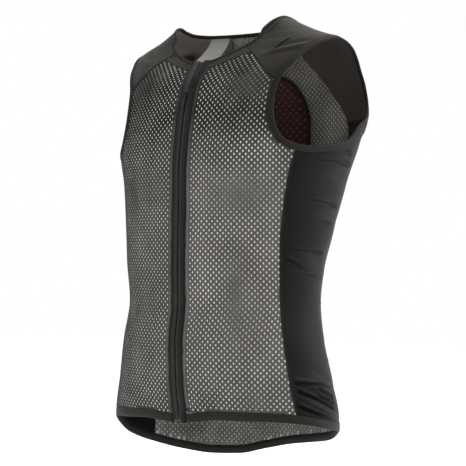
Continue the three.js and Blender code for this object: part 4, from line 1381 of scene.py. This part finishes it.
# How light the tape is across its width, from the teeth out: share of the width, share of light.
ZIP_TONES = np.array([
    (0, 0.3), (0.1, 0.85), (0.3, 1), (0.4, 0.6), (0.5, 0.5), (0.6, 0.75), (0.68, 0.12), (1, 0),
])
ZIP_TAPE_FORM = [
    (0.0, -1.0), (0.0, 0.5), (0.05, 1.2), (0.14, 1.7), (0.26, 1.8), (0.38, 1.5), (0.46, 0.7), (0.5, 0.3),
    (0.56, 0.7), (0.64, 1.1), (0.76, 1.1), (0.86, 0.8), (0.93, 0.9), (0.98, 0.5), (1.0, -0.3),
    (1.0, -1.2), (0.5, -1.6),
]
for side, word, edges in SIDES:
    near = to_side(side, zip_line(0.45, zip_foot, zip_head, ZIP_CELLS))
    far = to_side(side, zip_line(ZIP_BAND_HALF_WIDTH, zip_foot, zip_head, ZIP_CELLS, ZIP_WAVE))
    piece = swept(f"zip_cloth_{word}", near, far, ZIP_TAPE_FORM)
    tone = through(ZIP_TONES, 1, np.array(ZIP_TAPE_FORM)[:, 0])[None]
    # Where the zip stands open, the wearer's left tape is darkened, a painted shadow in the gap, and the
    # wearer's right tape is lightened, a painted light on its flap.
    open_top_painted_light = np.clip((near[:, 1] - zip_closed + 4) / 8, 0, 1)[:, None]
    tone = tone * (1 - open_top_painted_light) + open_top_painted_light * (0.05 if side > 0 else 1.1 * (tone > 0.2))
    set_values(piece, tone.ravel())
    sewn_to(f"front_net_{word}", finished(piece, zip_cloth, "zip_cloth", f"zip_tape_{word}"))


def block(name, size, bevel, segments=3, centre=(0, 0, 0)):
    """A rounded block with a size and a centre: right, up and out."""
    deselect()
    bpy.ops.mesh.primitive_cube_add(size=1)
    piece = just_made(name)
    set_mode("EDIT")
    bpy.ops.transform.resize(value=size)
    bpy.ops.mesh.bevel(offset=bevel, segments=segments)
    set_mode("OBJECT")
    for vertex in piece.data.vertices:
        vertex.co = [place + shift for place, shift in zip(vertex.co, centre)]
    return piece


# The zip's teeth, a coil on each side whose turns lie between each other: how far apart they are,
# each one's size (right, up and out) and how far from the middle it lies.
TOOTH_PITCH = 1.7
TOOTH_SIZE = (3.9, 0.95, 1.5)
CLOSED_TOOTH_PLACE = 1.25
OPEN_TOOTH_PLACE = 1.9


def teeth(name, node_name, heights, sides, distance):
    """Teeth at heights on the given sides, each a distance away from the middle."""
    rows = [(side * distance, z + side * TOOTH_PITCH / 4, side) for z in heights for side in sides]
    x, z, side = np.array(rows).T
    place = beside_zip(z, x)
    frames = upright_frame(place)
    frames[:, :2] *= side[:, None, None]
    base, faces = taken(block(name, TOOTH_SIZE, 0.32, 1))
    piece = tiled(name, base, faces, skin(place, -1.9), frames)
    finished(piece, zip_plastic, "zip_plastic", node_name)


heights = np.arange(zip_foot + 13, zip_closed, TOOTH_PITCH)
teeth("teeth_closed", "zip_teeth", heights, (1, -1), CLOSED_TOOTH_PLACE)
heights = np.arange(zip_closed + 1, zip_head - 2, TOOTH_PITCH)
for side, word, edges in SIDES:
    teeth(f"teeth_open_{word}", f"zip_teeth_{word}", heights, (side,), OPEN_TOOTH_PLACE)


def plate_ring(name, width, length, bar, thickness):
    """A long rounded ring cut from plate."""
    deselect()
    bpy.ops.mesh.primitive_circle_add(vertices=24, radius=width / 2, fill_type="NOTHING")
    piece = just_made(name)
    stretch_by = length / 2 - width / 2
    for vertex in piece.data.vertices:
        vertex.co.y += stretch_by if vertex.co.y > 0 else -stretch_by
    set_mode("EDIT")
    bpy.ops.mesh.select_all(action="SELECT")
    bpy.ops.mesh.extrude_edges_move()
    bpy.ops.transform.resize(value=(1 - 2 * bar / width, 1 - 2 * bar / length, 1))
    bpy.ops.mesh.select_all(action="SELECT")
    bpy.ops.mesh.normals_make_consistent(inside=False)
    set_mode("OBJECT")
    apply_modifier(piece, "SOLIDIFY", thickness=thickness, offset=0)
    apply_modifier(piece, "BEVEL", width=thickness * 0.25, segments=2)
    return piece


def joined_pieces(first, second):
    deselect()
    first.select_set(True)
    second.select_set(True)
    bpy.context.view_layer.objects.active = first
    bpy.ops.object.join()
    return first


def set_on_zip(piece, z, lift):
    """Sets a piece modelled in millimetres (right, up, out) on the middle of the zip."""
    place = spots(0.0, z)
    set_corners(piece, corners_of(piece) @ upright_frame(place) + skin(place, lift))
    return piece


# The slider's body narrows towards its foot.
slider = block("slider_body", (9.4, 11, 2), 0.9)
for vertex in slider.data.vertices:
    vertex.co.x *= 0.74 + 0.26 * np.clip((vertex.co.y + 5.5) / 8, 0, 1)
bridge = block("slider_bridge", (2.6, 7.5, 1.6), 0.6, centre=(0, 0, 1.5))
slider = set_on_zip(joined_pieces(slider, bridge), zip_closed - 6, 3.0)
finished(slider, slider_metal, "slider_metal", "zip_slider")

pull = plate_ring("pull_ring", 5.4, 24, 1.3, 1.4)
tab = block("pull_tab", (3.6, 12, 1.7), 0.6, centre=(0, -4.5, 0))
pull = set_on_zip(joined_pieces(pull, tab), zip_closed - 16, 5.6)
finished(pull, slider_metal, "slider_metal", "zip_pull")

box = block("end_box", (6.4, 13, 4.2), 0.9)
groove = block("end_box_groove", (0.9, 12.2, 0.8), 0.3, centre=(0, 0, 2.2))
box = set_on_zip(joined_pieces(box, groove), zip_foot + 6.5, 0.1)
finished(box, zip_plastic, "zip_plastic", "zip_box")

# The pad inside the back, in its own pocket with a bound edge.
POCKET_TOP = 73
POCKET_LENGTH = 400
POCKET_HALF_WIDTH = 52
POCKET_THICKNESS = 8
POCKET_TAPE_WIDTH = 5
POCKET_DOME = POCKET_HALF_WIDTH * 1.45
POCKET_LIFT = -CLOTH - 1.4


def back_spot(x, z):
    return spots(180 - turn_across(x, z), z)


def pocket_edge(across_cells, side_cells, bend_cells):
    """The pocket's outline in four parts: foot, top, left and right."""
    shoulder, foot = -POCKET_TOP - POCKET_DOME, -POCKET_TOP - POCKET_LENGTH

    def arc(degrees):
        angle = np.radians(degrees)
        return back_spot(POCKET_HALF_WIDTH * np.cos(angle), shoulder + POCKET_DOME * np.sin(angle))

    upright = back_spot(POCKET_HALF_WIDTH, np.linspace(foot, shoulder, side_cells + 1))
    left_part = joined(upright, arc(np.linspace(0, 45, bend_cells + 1)))
    top = arc(np.linspace(45, 135, across_cells + 1))
    low = back_spot(np.linspace(POCKET_HALF_WIDTH, -POCKET_HALF_WIDTH, across_cells + 1), foot)
    return low, top, left_part, beyond_back(left_part)


# How thick the pad's rim is, as a share of its thickness.
PAD_RIM = 0.25


def pad(name, places, lift, thickness, edge):
    """A closed pad over a grid of places, thinned towards its edges on the wearer's side."""
    full = held_edges(places, edge)
    rows, columns = places.shape[:2]
    inner = skin(places, lift - thickness * (PAD_RIM + (1 - PAD_RIM) * full))
    points = np.stack([skin(places, lift), inner])
    index = np.arange(2 * rows * columns).reshape(2, rows, columns)
    faces = quads(index[0]) + quads(index[1].T)
    faces += quads(np.stack([rim_of(index[0]), rim_of(index[1])], axis=1))
    piece = piece_from(name, points, faces)
    lengths = over_cloth(places, 180.0).reshape(-1, 2)
    set_lengths(piece, np.concatenate([lengths, lengths]))
    face_outwards(piece)
    return piece


pocket_parts = pocket_edge(30, 90, 14)
places = filled(*pocket_parts)
pocket = pad("spine_pad", places, POCKET_LIFT, POCKET_THICKNESS, 14)
finished(pocket, lining, "pocket_cloth", "spine_pocket")
low, top, left_part, right_part = pocket_parts
outline = joined(low, right_part, top[::-1], left_part[::-1])
outer = shifted_edge(outline, -POCKET_TAPE_WIDTH, closed=True)
POCKET_TAPE_FORM = [(share, lift + POCKET_LIFT - 0.6) for share, lift in ROUND_TAPE]
piece = swept("pocket_binding", outer, outline, POCKET_TAPE_FORM, closed=True)
sewn_to("back_net_left", finished(piece, elastic, "elastic_tape", "spine_pocket_tape"))

# The care label hangs inside the neck on the wearer's right and stands forward at its foot.
LABEL_WIDTH = 31
LABEL_LENGTH = 38
LABEL_ROWS = 30
LABEL_COLUMNS = 20
LABEL_DISTANCE = 61
LABEL_FALL = (-0.45, -1, 0)
LABEL_CURL = 0.9


def label_points():
    middle = 180 - float(turn_across(LABEL_DISTANCE, neck_height(180.0)))
    z = float(neck_height(middle)) - NECK_TAPE_WIDTH * 0.5
    behind = unit(skin_normal(-middle, z) * (1, 1, 0))
    across = np.cross((0, 0, 1), behind)
    fall = unit(np.array(LABEL_FALL))
    down = 1 - np.linspace(0, 1, LABEL_ROWS + 1)[:, None, None]
    u = np.linspace(-0.5, 0.5, LABEL_COLUMNS + 1)[None, :, None]
    lean = (0.3 + 0.45 * down) * down + 0.1 * down * u
    curl = LABEL_CURL * np.sin(np.pi * (u + 0.5)) * down
    return (
        skin(spots(-middle, z), -3.3) + across * u * LABEL_WIDTH
        - np.array([0, 0, 1]) * LABEL_LENGTH * down + fall * lean * LABEL_LENGTH - behind * curl
    )


lengths = np.stack(np.meshgrid(
    np.linspace(0, LABEL_WIDTH, LABEL_COLUMNS + 1), np.linspace(0, LABEL_LENGTH, LABEL_ROWS + 1),
), axis=-1)
label = grid_piece("label_cloth", label_points(), lengths)
apply_modifier(label, "SOLIDIFY", thickness=0.5 * MM, offset=0)
finished(label, label_cloth, "label_cloth", "care_label")

# Stitches. Two lines run beside the zip on each side, at these distances from its middle.
ZIP_STITCH_PLACES = (11.6, 15.2)
arm_line = shifted_edge(armhole_seam, 1.6, closed=True)
arm_lines = [to_side(side, arm_line) for side, word, edges in SIDES]
sewn_to("yoke_cloth_left", stitches("arm_stitches", arm_lines, 1.25))
neck_line = neck_low * 0.8 + neck_high * 0.2
sewn_to("yoke_cloth_left", stitches("neck_stitches", [neck_line], 1.45))
hem_stitch_line = hem_low * 0.2 + hem_high * 0.8
sewn_to("side_cloth_left", stitches("hem_stitches", [hem_stitch_line], 0.4))
zip_lines = [
    to_side(side, zip_line(x, zip_foot + 16, neck_seam_foot - 2, 150))
    for side, word, edges in SIDES for x in ZIP_STITCH_PLACES
]
sewn_to("front_net_left", stitches("zip_stitches", zip_lines, 0.75, 2.6))

# Two pale bar tacks at the zip's foot: how far left of the middle each starts, and its rise.
TACKS = ((-5.6, 0.4), (1.2, 1.8))
TACK_LENGTH = 3.4
TACK_ROW_STEP = 0.55
tack_heights = [zip_foot + 1.6 + TACK_ROW_STEP * k for k in range(3)]
tack_lines = [
    beside_zip(z + rise, np.array([x, x + TACK_LENGTH])) for x, rise in TACKS for z in tack_heights
]
tacks = stitches("bar_tacks", tack_lines, 3.1, 1.7)
tacks.data.materials[0] = pale_thread
sewn_to("front_net_left", tacks)

# A sheet's area is at least this share of its width times its length.
LEAST_AREA_SHARE = 0.31
for piece, places, trims in worn.values():
    flat, area = flat_size(places)
    area = min(max(area, LEAST_AREA_SHARE * flat[0] * flat[1]), flat[0] * flat[1])

# Camera, light and floor.

CAMERA_TURN = np.radians(38)
CAMERA_DISTANCE = 2.25
CAMERA_HEIGHT = -0.35
PICTURE_PIXELS = 466
FOCAL_PIXELS = 1500
SHIFT_PIXELS = (5, 22)
SENSOR_WIDTH = 36
FLOOR_SIZE = 14
FLOOR_HEIGHT = -0.95
LAMPS_AIM = np.array([0, 0, -0.33])


def placed(name, data, place, rotation):
    made = bpy.data.objects.new(name, data)
    made.location, made.rotation_euler = place, rotation
    bpy.context.collection.objects.link(made)
    return made


camera_data = bpy.data.cameras.new("camera")
camera_data.sensor_width = SENSOR_WIDTH
camera_data.lens = FOCAL_PIXELS / PICTURE_PIXELS * SENSOR_WIDTH
camera_data.shift_x, camera_data.shift_y = (shift / PICTURE_PIXELS for shift in SHIFT_PIXELS)
camera_data.clip_start, camera_data.clip_end = 0.05, 50
place = (CAMERA_DISTANCE * np.sin(CAMERA_TURN), -CAMERA_DISTANCE * np.cos(CAMERA_TURN), CAMERA_HEIGHT)
bpy.context.scene.camera = placed("camera", camera_data, place, (np.pi / 2, 0, CAMERA_TURN))

deselect()
bpy.ops.mesh.primitive_plane_add(size=FLOOR_SIZE, location=(0, 0, FLOOR_HEIGHT))
floor = bpy.context.object
floor.name = "studio_floor"
floor.data.materials.append(finish("studio floor", (1, 1, 1), 0.9, 0))
floor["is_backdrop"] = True

world = bpy.data.worlds.new("studio")
bpy.context.scene.world = world
world.use_nodes = True
world.node_tree.nodes["Background"].inputs["Color"].default_value = (1, 1, 1, 1)
world.node_tree.nodes["Background"].inputs["Strength"].default_value = 1.0
bpy.context.scene.view_settings.view_transform = "Standard"

# Area lamps: name, place, size and power.
for name, place, size, power in (
    ("key", (0.5, 0.6, 2.3), 1.6, 110),
    ("side", (2.1, 1.5, 0.5), 1.2, 90),
    ("front", (-0.8, -2.6, 0.8), 1.8, 16),
):
    data = bpy.data.lights.new(name, "AREA")
    data.size, data.energy = size, power
    aim = -np.array(place) + LAMPS_AIM
    yaw = np.arctan2(aim[0], -aim[1])
    tilt = np.arctan2(np.hypot(aim[0], aim[1]), -aim[2])
    placed(name, data, place, (tilt, 0, yaw + np.pi))

size = {"solids": [list(map(float, corner)) for corner in solid_box],
        "scene": [list(map(float, corner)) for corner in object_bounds()]}
